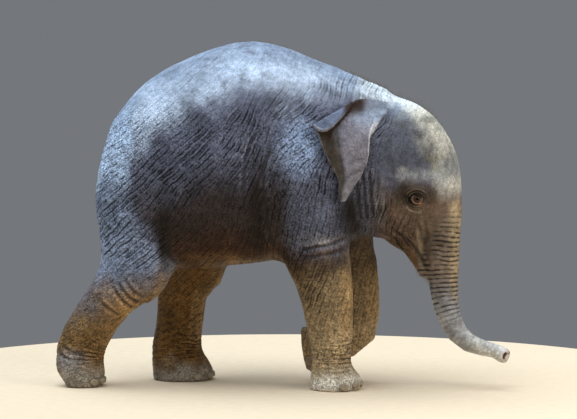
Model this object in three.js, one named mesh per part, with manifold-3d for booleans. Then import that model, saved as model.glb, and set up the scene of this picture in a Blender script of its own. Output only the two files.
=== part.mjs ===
// A life-size Asian elephant calf, walking, in millimetres: +X towards the head, +Y its left side, +Z up,
// the floor at z = 0. The body is one smooth field of distances, made of limbs, balls and a lofted barrel.
// Each part of the body is that field turned into a mesh on its own grid and parted from its neighbours
// by thin plane cuts.
import * as THREE from "three";
import { mergeVertices } from "three/addons/utils/BufferGeometryUtils.js";
import Module from "manifold-3d";

const wasm = await Module();
wasm.setup();

// ---------------------------------------------------------------- driving sizes
const PART_GAP = 1; // between two neighbouring parts of the body
const TOUCH_GAP = 0.4; // between an eye or nail and what carries it
const LAP_GAP = 0.8; // between an ear, the jaw or the tail and what it lies on
const EYE_AT = [519, 629]; // x and z
const EYE_RADIUS = 19;
const EYE_SINK = 10; // how far an eye's centre lies under the skin
const EAR_THICKNESS = 9;
const NOSTRIL_CUP = { radii: [24, 15, 15], pitch: 25, centre: [826, -32, 100] };
const FORE_NAILS = [-64, -32, 0, 32, 64]; // degrees round the foot from its front
const HIND_NAILS = [-51, -17, 17, 51];
const NAIL = { width: 32, height: 24, depth: 14, proud: 3.5 }; // proud is how far it stands out of the foot
const GRID = { body: 62, neck: 50, head: 36, leg: 41, trunk: 26 }; // cells that the fields are meshed on
const SIDES = { leg: 12, trunk: 14, jaw: 12, tail: 8, tuft: 8 }; // sides of each limb's rings
const EAR_GRID = [5, 13]; // strips that an ear's leaf is bent from, across and up
const NEVER_NEARER = 120; // a limb's bounding ball is near enough to its distance beyond this
const DOME = { width: 0.75, reach: 0.66 }; // shares of a limb's last ring where its end rounds over
const ARCH_FOOT = -60; // height that the room of a leg starts from
const ARCH_REACH = 400; // how far out the room of a leg goes
const OUT_OF_BODY = 400; // no surface is further than this from a point inside the body
const MERGE = 1e-3; // vertices closer than this are one
const SLIVER = 0.15; // a finished part keeps no detail finer than this

// Barrel of the body: x, height of the back, height of the belly, half width.
const BARREL = [
  [-522, 835, 545, 70],
  [-500, 880, 470, 118],
  [-440, 960, 432, 165],
  [-375, 1020, 410, 198],
  [-275, 1077, 395, 228],
  [-155, 1125, 395, 246],
  [-40, 1146, 405, 248],
  [75, 1127, 420, 230],
  [175, 1087, 430, 200],
  [280, 1046, 470, 163],
  [345, 1016, 525, 140],
  [400, 985, 580, 120],
];
const WIDEST_AT = 0.44; // share of the barrel's height where it is widest
const BARREL_FULLNESS = 2.25; // 2 is an ellipse, and more is squarer

// Limbs: centre x, y, z, then the half depth fore and aft and the half width from side to side.
const FORELEG_RIGHT = [
  [178, -118, 860, 62, 34],
  [165, -138, 740, 108, 58],
  [160, -138, 625, 131, 72],
  [176, -130, 525, 128, 78],
  [192, -121, 450, 114, 80],
  [215, -112, 365, 96, 76],
  [228, -107, 290, 86, 73],
  [236, -101, 205, 77, 68],
  [240, -96, 125, 67, 63],
  [240, -94, 85, 66, 63],
  [243, -94, 55, 74, 72],
  [250, -94, 25, 87, 84],
  [254, -94, 10, 91, 87],
  [257, -94, -2, 86, 83],
  [260, -94, -20, 70, 68],
];
const FORELEG_LEFT = [
  [210, 118, 860, 62, 34],
  [212, 138, 740, 105, 58],
  [225, 138, 625, 122, 72],
  [245, 130, 525, 116, 78],
  [264, 122, 450, 105, 80],
  [286, 114, 375, 94, 77],
  [298, 108, 300, 88, 74],
  [304, 104, 228, 83, 70],
  [300, 102, 176, 78, 67],
  [266, 100, 143, 68, 64],
  [215, 98, 126, 64, 62],
  [170, 98, 114, 70, 68],
  [148, 98, 110, 76, 75],
  [136, 98, 108, 77, 76],
  [128, 98, 107, 72, 71],
  [110, 98, 104, 60, 60],
];
const HINDLEG_RIGHT = [
  [-370, -92, 790, 105, 60],
  [-385, -108, 700, 133, 84],
  [-406, -114, 610, 134, 92],
  [-410, -117, 505, 118, 94],
  [-404, -118, 425, 114, 92],
  [-432, -115, 360, 104, 86],
  [-490, -108, 300, 83, 77],
  [-540, -103, 232, 78, 72],
  [-580, -100, 165, 80, 70],
  [-598, -100, 115, 82, 71],
  [-600, -100, 70, 82, 74],
  [-592, -100, 25, 77, 78],
  [-588, -100, -2, 70, 74],
  [-584, -100, -20, 54, 58],
];
const HINDLEG_LEFT = [
  [-350, 92, 790, 105, 60],
  [-335, 108, 700, 130, 84],
  [-312, 115, 610, 132, 92],
  [-275, 119, 520, 124, 94],
  [-248, 120, 440, 110, 91],
  [-252, 117, 385, 112, 86],
  [-272, 111, 335, 96, 80],
  [-288, 107, 290, 85, 76],
  [-293, 103, 215, 81, 72],
  [-299, 101, 165, 81, 70],
  [-305, 100, 115, 86, 71],
  [-302, 100, 75, 91, 75],
  [-292, 100, 40, 100, 85],
  [-284, 100, 12, 107, 93],
  [-282, 100, -2, 102, 89],
  [-281, 100, -20, 86, 76],
];
const TRUNK = [
  [535, 0, 695, 116, 100],
  [572, 0, 645, 98, 88],
  [592, 0, 592, 76, 76],
  [600, 0, 535, 62, 67],
  [600, 0, 470, 58, 61],
  [601, 0, 400, 54, 57],
  [605, 0, 335, 48, 51],
  [611, 0, 285, 44, 47],
  [623, -1, 235, 40, 43],
  [650, -4, 180, 35, 39],
  [690, -9, 147, 31, 34],
  [740, -16, 131, 26, 29],
  [775, -22, 124, 24, 27],
  [803, -28, 110, 27, 29],
];
const JAW = [
  [438, 0, 566, 84, 92],
  [478, 0, 512, 65, 76],
  [508, 0, 462, 39, 56],
  [526, 0, 410, 23, 40],
  [540, 0, 372, 14, 27],
];
const TAIL = [
  [-482, 0, 838, 30, 30],
  [-512, 2, 790, 25, 26],
  [-523, 9, 715, 19, 20],
  [-524, 25, 625, 15, 16],
  [-517, 47, 535, 12, 13],
  [-506, 64, 455, 9, 10],
  [-501, 71, 415, 8, 9],
];
const TUFT = [
  [-500, 73, 394, 10, 11],
  [-498, 76, 370, 13, 14],
  [-497, 79, 330, 9, 10],
  [-496, 81, 300, 3, 3],
];

// Ear, laid flat: height, then x of its front and rear edges, how far each edge stands off the mid plane,
// how late the leaf flares from one to the other, and how far its middle bows out.
const EAR = [
  [625, 291, 279, 202, 206, 0.8, 6],
  [650, 305, 275, 193, 210, 0.8, 9],
  [685, 326, 276, 183, 213, 0.8, 10],
  [720, 348, 263, 177, 217, 0.8, 10],
  [755, 361, 243, 173, 221, 0.8, 10],
  [795, 366, 223, 170, 225, 0.8, 10],
  [835, 369, 208, 162, 227, 0.9, 8],
  [865, 378, 194, 144, 226, 1.1, 5],
  [891, 395, 183, 126, 225, 1.3, 2],
  [910, 412, 184, 112, 217, 1.5, -1],
  [925, 420, 197, 106, 208, 1.5, -2],
  [936, 418, 228, 104, 188, 1.5, -2],
  [943, 406, 262, 104, 166, 1.4, 0],
  [948, 391, 300, 106, 140, 1.2, 0],
  [954, 368, 331, 112, 127, 1, 0],
];
// The ear's upper rear corner turns over outwards along this crease.
const EAR_CREASE = { rear: [198, 860], front: [331, 941], radius: 9, turn: 162 };

// ---------------------------------------------------------------- fields of distance
const { abs, hypot, max, min, pow, sign } = Math;
const radians = THREE.MathUtils.degToRad;

/** Union of two distances, with a fillet about k wide. */
function blend(a, b, k) {
  const h = max(k - abs(a - b), 0) / k;
  return min(a, b) - (h * h * k) / 4;
}

/** Distance to an ellipsoid whose offsets u, v, w from its centre are given with its radii. */
function ellipsoidDistance(u, v, w, ru, rv, rw) {
  const near = hypot(u / ru, v / rv, w / rw);
  if (near < 1e-3) return -min(ru, rv, rw);
  return (near * (near - 1)) / hypot(u / ru ** 2, v / rv ** 2, w / rw ** 2);
}

/** A ball with three radii, pitched nose down by an angle in degrees. */
function ball(centre, radii, pitch = 0) {
  const c = Math.cos(radians(pitch));
  const s = Math.sin(radians(pitch));
  return (x, y, z) => {
    const dx = x - centre[0];
    const dz = z - centre[2];
    return ellipsoidDistance(dx * c - dz * s, y - centre[1], dx * s + dz * c, ...radii);
  };
}

/** A smooth function through knots [x, value], flat beyond the ends. */
function through(knots) {
  const slope = knots.map((_, i) => {
    const a = knots[max(i - 1, 0)];
    const b = knots[min(i + 1, knots.length - 1)];
    return (b[1] - a[1]) / (b[0] - a[0]);
  });
  return (x) => {
    if (x <= knots[0][0]) return knots[0][1];
    if (x >= knots.at(-1)[0]) return knots.at(-1)[1];
    const i = knots.findIndex((k) => k[0] > x) - 1;
    const width = knots[i + 1][0] - knots[i][0];
    const t = (x - knots[i][0]) / width;
    const rise = (1 + 2 * t) * (1 - t) ** 2 * knots[i][1] + t * t * (3 - 2 * t) * knots[i + 1][1];
    return rise + t * (1 - t) * width * ((1 - t) * slope[i] - t * slope[i + 1]);
  };
}

/** The smooth line through a limb's stations and its half depth and half width at each of them. */
function limbLine(stations, samplesPerSpan) {
  const knots = stations.map(([x, y, z]) => new THREE.Vector3(x, y, z));
  const curve = new THREE.CatmullRomCurve3(knots, false, "centripetal");
  const steps = (stations.length - 1) * samplesPerSpan;
  return {
    points: Array.from({ length: steps + 1 }, (_, i) => curve.getPoint(i / steps)),
    depth: through(stations.map((s, i) => [i, s[3]])),
    width: through(stations.map((s, i) => [i, s[4]])),
  };
}

/** Directions across a limb: side to side of the animal, and at right angles to that. */
function acrossLimb(along) {
  const side = new THREE.Vector3(0, 1, 0).addScaledVector(along, -along.y).normalize();
  return { side, up: along.clone().cross(side) };
}

/** A limb whose round sections follow a smooth line through its stations. */
function limb(stations, samplesPerSpan = 6) {
  const { points, depth, width } = limbLine(stations, samplesPerSpan);
  const segments = points.slice(1).map((end, i) => {
    const along = end.clone().sub(points[i]);
    const length = along.length();
    along.divideScalar(length);
    return { start: points[i], along, length, ...acrossLimb(along), t: i / samplesPerSpan };
  });
  const bounds = new THREE.Box3().setFromPoints(points).getBoundingSphere(new THREE.Sphere());
  const widest = max(...stations.map((s) => max(s[3], s[4])));
  const last = segments.length - 1;
  const { center, radius } = bounds;
  return (x, y, z) => {
    const away = hypot(x - center.x, y - center.y, z - center.z) - radius - widest;
    if (away > NEVER_NEARER) return away;
    let best = Infinity;
    let found = 0;
    let share = 0;
    for (let i = 0; i <= last; i++) {
      const { start, along, length } = segments[i];
      const dx = x - start.x;
      const dy = y - start.y;
      const dz = z - start.z;
      const reach = min(max(dx * along.x + dy * along.y + dz * along.z, 0), length);
      const far = hypot(dx - reach * along.x, dy - reach * along.y, dz - reach * along.z);
      if (far < best) {
        best = far;
        found = i;
        share = reach / length;
      }
    }
    const { start, along, length, side, up, t } = segments[found];
    const offset = new THREE.Vector3(x, y, z).sub(start).addScaledVector(along, -share * length);
    const station = t + share / samplesPerSpan;
    const a = depth(station);
    const b = width(station);
    const pastEnd = (found === 0 && share === 0) || (found === last && share === 1);
    const beyondEnd = pastEnd ? offset.dot(along) : 0;
    return ellipsoidDistance(offset.dot(up), offset.dot(side), beyondEnd, a, b, min(a, b));
  };
}

/** The barrel: upright sections whose back, belly and half width are smooth functions of x. */
function barrel(stations) {
  const back = through(stations.map((s) => [s[0], s[1]]));
  const belly = through(stations.map((s) => [s[0], s[2]]));
  const half = through(stations.map((s) => [s[0], s[3]]));
  const [first, last] = [stations[0][0], stations.at(-1)[0]];
  const ratio = (x, y, z) => {
    const at = min(max(x, first), last);
    const top = back(at);
    const bottom = belly(at);
    const widest = bottom + WIDEST_AT * (top - bottom);
    const height = z > widest ? top - widest : widest - bottom;
    const [wide, high] = [abs(y) / half(at), abs(z - widest) / height];
    return pow(pow(wide, BARREL_FULLNESS) + pow(high, BARREL_FULLNESS), 1 / BARREL_FULLNESS);
  };
  return (x, y, z) => {
    const q = ratio(x, y, z);
    const step = 2;
    const ahead = [ratio(x + step, y, z), ratio(x, y + step, z), ratio(x, y, z + step)];
    const rise = ahead.map((value) => value - q);
    const across = (q - 1) / max(hypot(...rise) / step, 1e-4);
    const past = max(first - x, x - last, 0);
    return past > 0 ? hypot(max(across, 0), past) : across;
  };
}

/** The same field on both sides of the animal. */
const paired = (field) => (x, y, z) => field(x, abs(y), z);

// ---------------------------------------------------------------- the animal as fields
const trunkField = limb(TRUNK);
const skull = ball([455, 0, 742], [192, 166, 186], 43);
const poll = ball([412, 0, 832], [148, 124, 133]);
const domes = paired(ball([492, 60, 836], [98, 80, 92]));
const cheeks = paired(ball([428, 32, 612], [112, 104, 122]));
const brows = paired(ball([532, 92, 672], [66, 52, 46]));
const headField = (x, y, z) => {
  const crown = blend(blend(skull(x, y, z), domes(x, y, z), 30), poll(x, y, z), 40);
  const face = blend(blend(crown, cheeks(x, y, z), 60), brows(x, y, z), 30);
  return blend(face, trunkField(x, y, z), 50);
};
const barrelField = barrel(BARREL);
const buttocks = paired(ball([-376, 72, 700], [146, 112, 190]));
const torsoField = (x, y, z) => blend(barrelField(x, y, z), buttocks(x, y, z), 40);

const knee = ball([-383, -118, 386], [86, 80, 84]);
const hindRight = limb(HINDLEG_RIGHT);
const legFields = {
  foreleg_right: limb(FORELEG_RIGHT),
  foreleg_left: limb(FORELEG_LEFT),
  hindleg_right: (x, y, z) => blend(hindRight(x, y, z), knee(x, y, z), 40),
  hindleg_left: limb(HINDLEG_LEFT),
};
const LEG_FILLETS = { foreleg_right: 40, foreleg_left: 40, hindleg_right: 60, hindleg_left: 60 };

const bodyField = (x, y, z) => {
  const core = blend(torsoField(x, y, z), headField(x, y, z), 70);
  return min(...Object.entries(legFields).map(([name, leg]) => blend(core, leg(x, y, z), LEG_FILLETS[name])));
};

// ---------------------------------------------------------------- fields into solids
/** Solid of a closed geometry. */
function solidOf(geometry) {
  const bare = geometry.clone();
  bare.deleteAttribute("normal");
  bare.deleteAttribute("uv");
  const merged = mergeVertices(bare, MERGE);
  return new wasm.Manifold(
    new wasm.Mesh({
      numProp: 3,
      vertProperties: Float32Array.from(merged.attributes.position.array),
      triVerts: Uint32Array.from(merged.index.array),
    }),
  );
}

/** A limb as a solid of its own: rings along its line, with domed ends. */
function limbSolid(stations, sides, ringsPerSpan = 1) {
  const { points, depth, width } = limbLine(stations, ringsPerSpan);
  const last = points.length - 1;
  const along = points.map((_, i) => points[min(i + 1, last)].clone().sub(points[max(i - 1, 0)]).normalize());
  const ring = (i, shrink, shift) => {
    const { side, up } = acrossLimb(along[i]);
    const [a, b] = [depth(i / ringsPerSpan), width(i / ringsPerSpan)];
    return Array.from({ length: sides }, (_, n) => {
      const angle = (2 * Math.PI * n) / sides;
      const [fore, out] = [shrink * a * Math.cos(angle), shrink * b * Math.sin(angle)];
      const centre = points[i].clone().addScaledVector(along[i], shift * min(a, b));
      return centre.addScaledVector(up, fore).addScaledVector(side, out);
    });
  };
  const rings = points.map((_, i) => ring(i, 1, 0));
  rings.unshift(ring(0, DOME.width, -DOME.reach));
  rings.push(ring(last, DOME.width, DOME.reach));
  const tips = [ring(0, 0, -1)[0], ring(last, 0, 1)[0]];
  const positions = [...rings.flat(), ...tips].flatMap((p) => p.toArray());
  const faces = [];
  const top = rings.length - 1;
  for (let n = 0; n < sides; n++) {
    const m = (n + 1) % sides;
    for (let i = 0; i < top; i++) {
      const [a, b, c, d] = [i * sides + n, i * sides + m, (i + 1) * sides + m, (i + 1) * sides + n];
      faces.push(a, c, b, a, d, c);
    }
    faces.push(rings.length * sides, n, m);
    faces.push(rings.length * sides + 1, top * sides + m, top * sides + n);
  }
  const geometry = new THREE.BufferGeometry();
  geometry.setAttribute("position", new THREE.Float32BufferAttribute(positions, 3));
  geometry.setIndex(faces);
  return solidOf(geometry);
}

/** Geometry of a solid. */
function geometryOf(solid) {
  const { vertProperties, triVerts } = solid.getMesh();
  const geometry = new THREE.BufferGeometry();
  geometry.setAttribute("position", new THREE.BufferAttribute(vertProperties, 3));
  geometry.setIndex(new THREE.BufferAttribute(triVerts, 1));
  geometry.computeVertexNormals();
  return geometry;
}

/** How the field grows per millimetre at a point, along each axis. */
function slopeOf(field, { x, y, z }) {
  const ahead = new THREE.Vector3(field(x + 1, y, z), field(x, y + 1, z), field(x, y, z + 1));
  return ahead.subScalar(field(x, y, z));
}

/** Moves a point to where the field is zero. */
function settle(field, p, most) {
  for (let turn = 0; turn < 3; turn++) {
    const slope = slopeOf(field, p);
    const step = field(p.x, p.y, p.z) / max(slope.lengthSq(), 0.1);
    p.addScaledVector(slope, -sign(step) * min(abs(step), most));
  }
  return p;
}

/**
 * Mesh of where a field is under zero inside a box, by surface nets: one vertex in each cell that the
 * surface crosses, and one four-sided face for each grid edge that it crosses. The box caps it.
 */
function polygonize(field, [from, to], cell) {
  const low = from.map((l) => Math.floor(l / cell) * cell);
  const count = low.map((l, i) => Math.ceil((to[i] - l) / cell) + 1);
  const at = (i, axis) => low[axis] + i * cell;
  const index = (i, j, k) => (k * count[1] + j) * count[0] + i;
  const inset = cell * 0.6;
  const walls = low.map((l, i) => [l + inset, l + (count[i] - 1) * cell - inset]);
  const pastWalls = (p) => walls.flatMap(([least, most], i) => [least - p[i], p[i] - most]);
  const capped = (...p) => max(field(...p), ...pastWalls(p));
  const values = new Float32Array(count[0] * count[1] * count[2]);
  for (let k = 0; k < count[2]; k++)
    for (let j = 0; j < count[1]; j++)
      for (let i = 0; i < count[0]; i++) values[index(i, j, k)] = capped(at(i, 0), at(j, 1), at(k, 2));

  const corners = [0, 1, 2, 3, 4, 5, 6, 7].map((n) => [n & 1, (n >> 1) & 1, (n >> 2) & 1]);
  const edges = corners.flatMap((_, m) => [1, 2, 4].filter((bit) => !(m & bit)).map((bit) => [m, m | bit]));
  const positions = [];
  const vertexOf = new Map();
  for (let k = 0; k < count[2] - 1; k++)
    for (let j = 0; j < count[1] - 1; j++)
      for (let i = 0; i < count[0] - 1; i++) {
        const held = corners.map(([a, b, c]) => values[index(i + a, j + b, k + c)]);
        const crossed = edges.filter(([m, n]) => held[m] < 0 !== held[n] < 0);
        if (!crossed.length) continue;
        const centre = new THREE.Vector3();
        for (const [m, n] of crossed) {
          const t = held[m] / (held[m] - held[n]);
          const mix = (axis) => corners[m][axis] + t * (corners[n][axis] - corners[m][axis]);
          centre.add(new THREE.Vector3(mix(0), mix(1), mix(2)));
        }
        centre.divideScalar(crossed.length).multiplyScalar(cell);
        centre.add(new THREE.Vector3(at(i, 0), at(j, 1), at(k, 2)));
        settle(capped, centre, cell * 0.25);
        vertexOf.set(index(i, j, k), positions.length / 3);
        positions.push(...centre.toArray());
      }

  const faces = [];
  const quad = (a, b, c, d, turned) => {
    const point = (v) => new THREE.Vector3().fromArray(positions, 3 * v);
    const flip = point(a).distanceTo(point(c)) > point(b).distanceTo(point(d));
    const pair = flip ? [[a, b, d], [b, c, d]] : [[a, b, c], [a, c, d]];
    for (const face of pair) faces.push(...(turned ? face.reverse() : face));
  };
  // Each grid edge runs one step along w, between the four cells that lie back along u and v from it.
  const axes = [[0, 0, 1], [1, 0, 0], [0, 1, 0]];
  for (let k = 0; k < count[2] - 1; k++)
    for (let j = 0; j < count[1] - 1; j++)
      for (let i = 0; i < count[0] - 1; i++) {
        const here = values[index(i, j, k)] < 0;
        axes.forEach((w, axis) => {
          if (here === values[index(i + w[0], j + w[1], k + w[2])] < 0) return;
          const [u, v] = [axes[(axis + 1) % 3], axes[(axis + 2) % 3]];
          const cells = (a, b) => {
            const [di, dj, dk] = [0, 1, 2].map((n) => a * u[n] + b * v[n]);
            return vertexOf.get(index(i - di, j - dj, k - dk));
          };
          quad(cells(1, 1), cells(0, 1), cells(0, 0), cells(1, 0), !here);
        });
      }
  const geometry = new THREE.BufferGeometry();
  geometry.setAttribute("position", new THREE.Float32BufferAttribute(positions, 3));
  geometry.setIndex(faces);
  return solidOf(geometry);
}

/** What lies beyond a plane, on the side that its normal points to, less half the gap between two parts. */
function beyond(solid, { at, normal }, gap = PART_GAP) {
  const n = new THREE.Vector3(...normal).normalize();
  return solid.trimByPlane(n.toArray(), n.dot(new THREE.Vector3(...at)) + gap / 2);
}

/** What lies before a plane, less half the gap between two parts. */
const before = (solid, { at, normal }) => beyond(solid, { at, normal: normal.map((n) => -n) });

/** A solid with the pieces that it carries let into it. */
const letIn = (solid, pieces) => pieces.reduce((rest, piece) => rest.subtract(piece), solid);

/** A solid grown by a gap, as its copies moved both ways along each axis and joined. */
function grown(solid, gap) {
  const steps = [[gap, 0, 0], [0, gap, 0], [0, 0, gap]];
  const moves = steps.flatMap((step) => [step, step.map((length) => -length)]);
  const copies = moves.map((move) => solidOf(geometryOf(solid).translate(...move)));
  return copies.reduce((all, copy) => all.add(copy));
}

/** The largest of the bodies that a cut leaves. */
const largest = (solid) => solid.decompose().sort((a, b) => b.volume() - a.volume())[0];

/** Where the field is crossed on the way out from a point inside it. */
function surfaceFrom(field, origin, direction) {
  let [inside, outside] = [0, OUT_OF_BODY];
  const along = direction.clone().normalize();
  const value = (t) => field(...origin.clone().addScaledVector(along, t).toArray());
  while (outside - inside > 0.05) {
    const middle = (inside + outside) / 2;
    if (value(middle) < 0) inside = middle;
    else outside = middle;
  }
  return origin.clone().addScaledVector(along, inside);
}

// ---------------------------------------------------------------- where the parts meet
// A plane's normal points to the part beyond it.
const PLANES = {
  floor: { at: [0, 0, 0], normal: [0, 0, 1] },
  withers: { at: [285, 0, 740], normal: [1, 0, 0] },
  nape: { at: [358, 0, 740], normal: [1, 0, 0] },
  trunkRoot: { at: [542, 0, 480], normal: [0.684, 0, -0.729] },
  trunkUpper: { at: [603, 0, 352], normal: [0.05, 0, -1] },
  trunkLower: { at: [636, 0, 200], normal: [0.6, 0, -0.8] },
  elbow: { at: [0, 0, 335], normal: [0, 0, -1] },
  wristRight: { at: [0, 0, 150], normal: [0, 0, -1] },
  wristLeft: { at: [296, 0, 166], normal: [-0.72, 0, -0.69] },
  kneeRight: { at: [-452, 0, 340], normal: [-0.6, 0, -0.8] },
  ankleRight: { at: [-592, 0, 140], normal: [-0.3, 0, -0.95] },
  kneeLeft: { at: [0, 0, 318], normal: [0, 0, -1] },
  ankleLeft: { at: [0, 0, 132], normal: [0, 0, -1] },
  liftedSole: { at: [132, 0, 107], normal: [0.989, 0, 0.147] },
  liftedHeel: { at: [-664, 0, 42], normal: [0.8, 0, 0.6] },
};
const LEG_TOP = { over: 180, inside: 40, outside: 300, low: 220, high: 860 }; // the box it is meshed in
const ARCH_INSET = 112; // how far the flat back of a leg's arch stands off the mid plane
const BRISKET_HALF_WIDTH = 48; // between the forelegs, in front

/**
 * Each leg: the arch that it takes out of the flank (its rear and front edges and the height that it
 * springs from), the stretch under the belly that is all its own (rear, front and height), the stretch
 * beside the brisket (the same), and its foot.
 */
const LEGS = {
  foreleg_right: {
    hand: -1,
    stations: FORELEG_RIGHT,
    arch: [25, 297, 590],
    under: [40, 420, 398],
    beside: [284, 345, 555],
    cuts: [PLANES.elbow, PLANES.wristRight],
    soles: [PLANES.floor],
    foot: { centre: [250, -94, 17], up: [0, 0, 1], toe: [1, 0, 0], nails: FORE_NAILS },
  },
  foreleg_left: {
    hand: 1,
    stations: FORELEG_LEFT,
    arch: [85, 340, 585],
    under: [50, 430, 398],
    beside: [284, 400, 555],
    cuts: [PLANES.elbow, PLANES.wristLeft],
    soles: [PLANES.liftedSole],
    foot: { centre: [151, 98, 110], up: [0.989, 0, 0.147], toe: [0.147, 0, -0.989], nails: FORE_NAILS },
  },
  hindleg_right: {
    hand: -1,
    stations: HINDLEG_RIGHT,
    arch: [-557, -255, 600],
    under: [-760, -240, 388],
    cuts: [PLANES.kneeRight, PLANES.ankleRight],
    soles: [PLANES.floor, PLANES.liftedHeel],
    foot: { centre: [-585, -100, 19], up: [0, 0, 1], toe: [1, 0, 0], nails: HIND_NAILS },
  },
  hindleg_left: {
    hand: 1,
    stations: HINDLEG_LEFT,
    arch: [-455, -118, 560],
    under: [-480, -80, 386],
    cuts: [PLANES.kneeLeft, PLANES.ankleLeft],
    soles: [PLANES.floor],
    foot: { centre: [-285, 100, 17], up: [0, 0, 1], toe: [1, 0, 0], nails: HIND_NAILS },
  },
};

/** The room that a leg takes out of the body, grown by a gap. */
function legRoom({ hand, arch, under, beside }, grow = 0) {
  const [rear, front, spring] = arch;
  const shape = new THREE.Shape();
  shape.moveTo(rear - grow, ARCH_FOOT);
  shape.lineTo(front + grow, ARCH_FOOT);
  shape.lineTo(front + grow, spring);
  shape.absarc((rear + front) / 2, spring, (front - rear) / 2 + grow, 0, Math.PI, false);
  shape.closePath();
  const sweep = { depth: ARCH_REACH, bevelEnabled: false, curveSegments: 8 };
  const flank = new THREE.ExtrudeGeometry(shape, sweep);
  flank.rotateX(Math.PI / 2);
  flank.translate(0, hand * (ARCH_INSET - grow) + (hand > 0 ? ARCH_REACH : 0), 0);
  const block = ([back, fore, top], inset) => {
    const box = new THREE.BoxGeometry(fore - back + 2 * grow, ARCH_REACH, top - ARCH_FOOT + grow);
    box.translate((back + fore) / 2, hand * (inset - grow + ARCH_REACH / 2), (top + grow + ARCH_FOOT) / 2);
    return solidOf(box);
  };
  const room = solidOf(flank).add(block(under, PART_GAP));
  return beside ? room.add(block(beside, BRISKET_HALF_WIDTH)) : room;
}

// ---------------------------------------------------------------- colours and finishes
const finish = (color, roughness) => new THREE.MeshStandardMaterial({ color, roughness, metalness: 0 });
const FINISHES = {
  skin: finish("#6f6a6c", 0.85),
  face: finish("#7d7068", 0.85),
  leg: finish("#7c6f61", 0.88),
  ear: finish("#75696a", 0.85),
  eye: finish("#2a1a12", 0.1),
  nail: finish("#9a8f80", 0.5),
  hair: finish("#241f1c", 0.6),
};

const calf = new THREE.Group();

/** Adds a part to the animal. */
function place(name, solid, material) {
  const mesh = new THREE.Mesh(geometryOf(solid.simplify(SLIVER)), FINISHES[material]);
  mesh.name = name;
  calf.add(mesh);
}

// ---------------------------------------------------------------- the parts
/** Centre of an eye, a little under the skin. */
function eyeCentre(hand) {
  const [x, z] = EYE_AT;
  const at = surfaceFrom(bodyField, new THREE.Vector3(x, 0, z), new THREE.Vector3(0, hand, 0));
  return at.add(new THREE.Vector3(0, -hand * EYE_SINK, 0));
}

/** An eyeball. */
function eyeSolid(hand, radius) {
  return solidOf(new THREE.SphereGeometry(radius, 10, 8).translate(...eyeCentre(hand).toArray()));
}

/** The head, down to the root of the trunk, with a socket for each eye. */
function headSolid() {
  const whole = polygonize(bodyField, [[300, -230, 420], [720, 230, 1030]], GRID.head);
  const sockets = [-1, 1].map((hand) => eyeSolid(hand, EYE_RADIUS + TOUCH_GAP));
  return letIn(beyond(before(whole, PLANES.trunkRoot), PLANES.nape), [...sockets, ...legRooms.slice(0, 2)]);
}

/** The neck, between the withers and the nape. */
function neckSolid() {
  const whole = polygonize(bodyField, [[230, -250, 380], [440, 250, 1110]], GRID.neck);
  return letIn(beyond(before(whole, PLANES.nape), PLANES.withers), legRooms.slice(0, 2));
}

/** The barrel of the body with the rump, less the room of each leg. */
function torsoSolid() {
  const whole = polygonize(bodyField, [[-620, -330, 300], [400, 330, 1200]], GRID.body);
  return letIn(before(whole, PLANES.withers), legRooms);
}

/** Top of the trunk, which runs out of the face. */
function trunkTopSolid() {
  const whole = polygonize(bodyField, [[480, -170, 300], [720, 170, 720]], GRID.trunk);
  return before(beyond(whole, PLANES.trunkRoot), PLANES.trunkUpper);
}

/** The rest of the trunk, with the cup that the nostrils open in. */
function trunkEndSolid() {
  const cup = new THREE.SphereGeometry(1, 10, 6).scale(...NOSTRIL_CUP.radii);
  cup.rotateY(radians(NOSTRIL_CUP.pitch)).translate(...NOSTRIL_CUP.centre);
  return beyond(limbSolid(TRUNK, SIDES.trunk), PLANES.trunkUpper).subtract(solidOf(cup));
}

/** The lower jaw, which lies against the face and the back of the trunk. */
function jawSolid(against) {
  return largest(letIn(limbSolid(JAW, SIDES.jaw), against));
}

/** The ear's middle surface: u from its front edge to its rear edge, v from its tip to its top. */
function earSurface(u, v) {
  const [z, front, rear, standFront, standRear, late, bow] = earColumns.map((column) => column(v));
  const stand = standFront + (standRear - standFront) * pow(u, late) + bow * Math.sin(Math.PI * u);
  const p = new THREE.Vector3(front + (rear - front) * u, stand, z);
  const { rear: from, front: to, radius, turn } = EAR_CREASE;
  const crease = new THREE.Vector3(to[0] - from[0], 0, to[1] - from[1]).normalize();
  const over = new THREE.Vector3(-crease.z, 0, crease.x);
  const past = p.clone().sub(new THREE.Vector3(from[0], p.y, from[1])).dot(over);
  if (past <= 0) return p;
  const bend = min(past / radius, radians(turn));
  const straight = past - bend * radius;
  const rise = radius * Math.sin(bend) + straight * Math.cos(bend);
  const out = radius * (1 - Math.cos(bend)) + straight * Math.sin(bend);
  return p.addScaledVector(over, rise - past).add(new THREE.Vector3(0, out, 0));
}

/** One ear: a thin closed slab bent on to the ear's middle surface, cut where it meets the head. */
function earSolid(hand, against) {
  const slab = new THREE.BoxGeometry(1, 1, 1, ...EAR_GRID, 1);
  const position = slab.attributes.position;
  const step = 0.01; // of the leaf's width or height, over which its slope is read
  const inner = (w) => min(max(w, step), 1 - step);
  for (let i = 0; i < position.count; i++) {
    const u = position.getX(i) + 0.5;
    const v = position.getY(i) + 0.5;
    const du = earSurface(inner(u) + step, v).sub(earSurface(inner(u) - step, v));
    const dv = earSurface(u, inner(v) + step).sub(earSurface(u, inner(v) - step));
    const normal = du.cross(dv).normalize();
    const point = earSurface(u, v).addScaledVector(normal, position.getZ(i) * EAR_THICKNESS);
    position.setXYZ(i, point.x, hand * point.y, point.z);
  }
  if (hand < 0) slab.index.array.reverse();
  return largest(letIn(solidOf(slab), against));
}

/** The tail, hanging from between the buttocks. */
function tailSolid(against) {
  return largest(letIn(limbSolid(TAIL, SIDES.tail), against));
}

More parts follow.
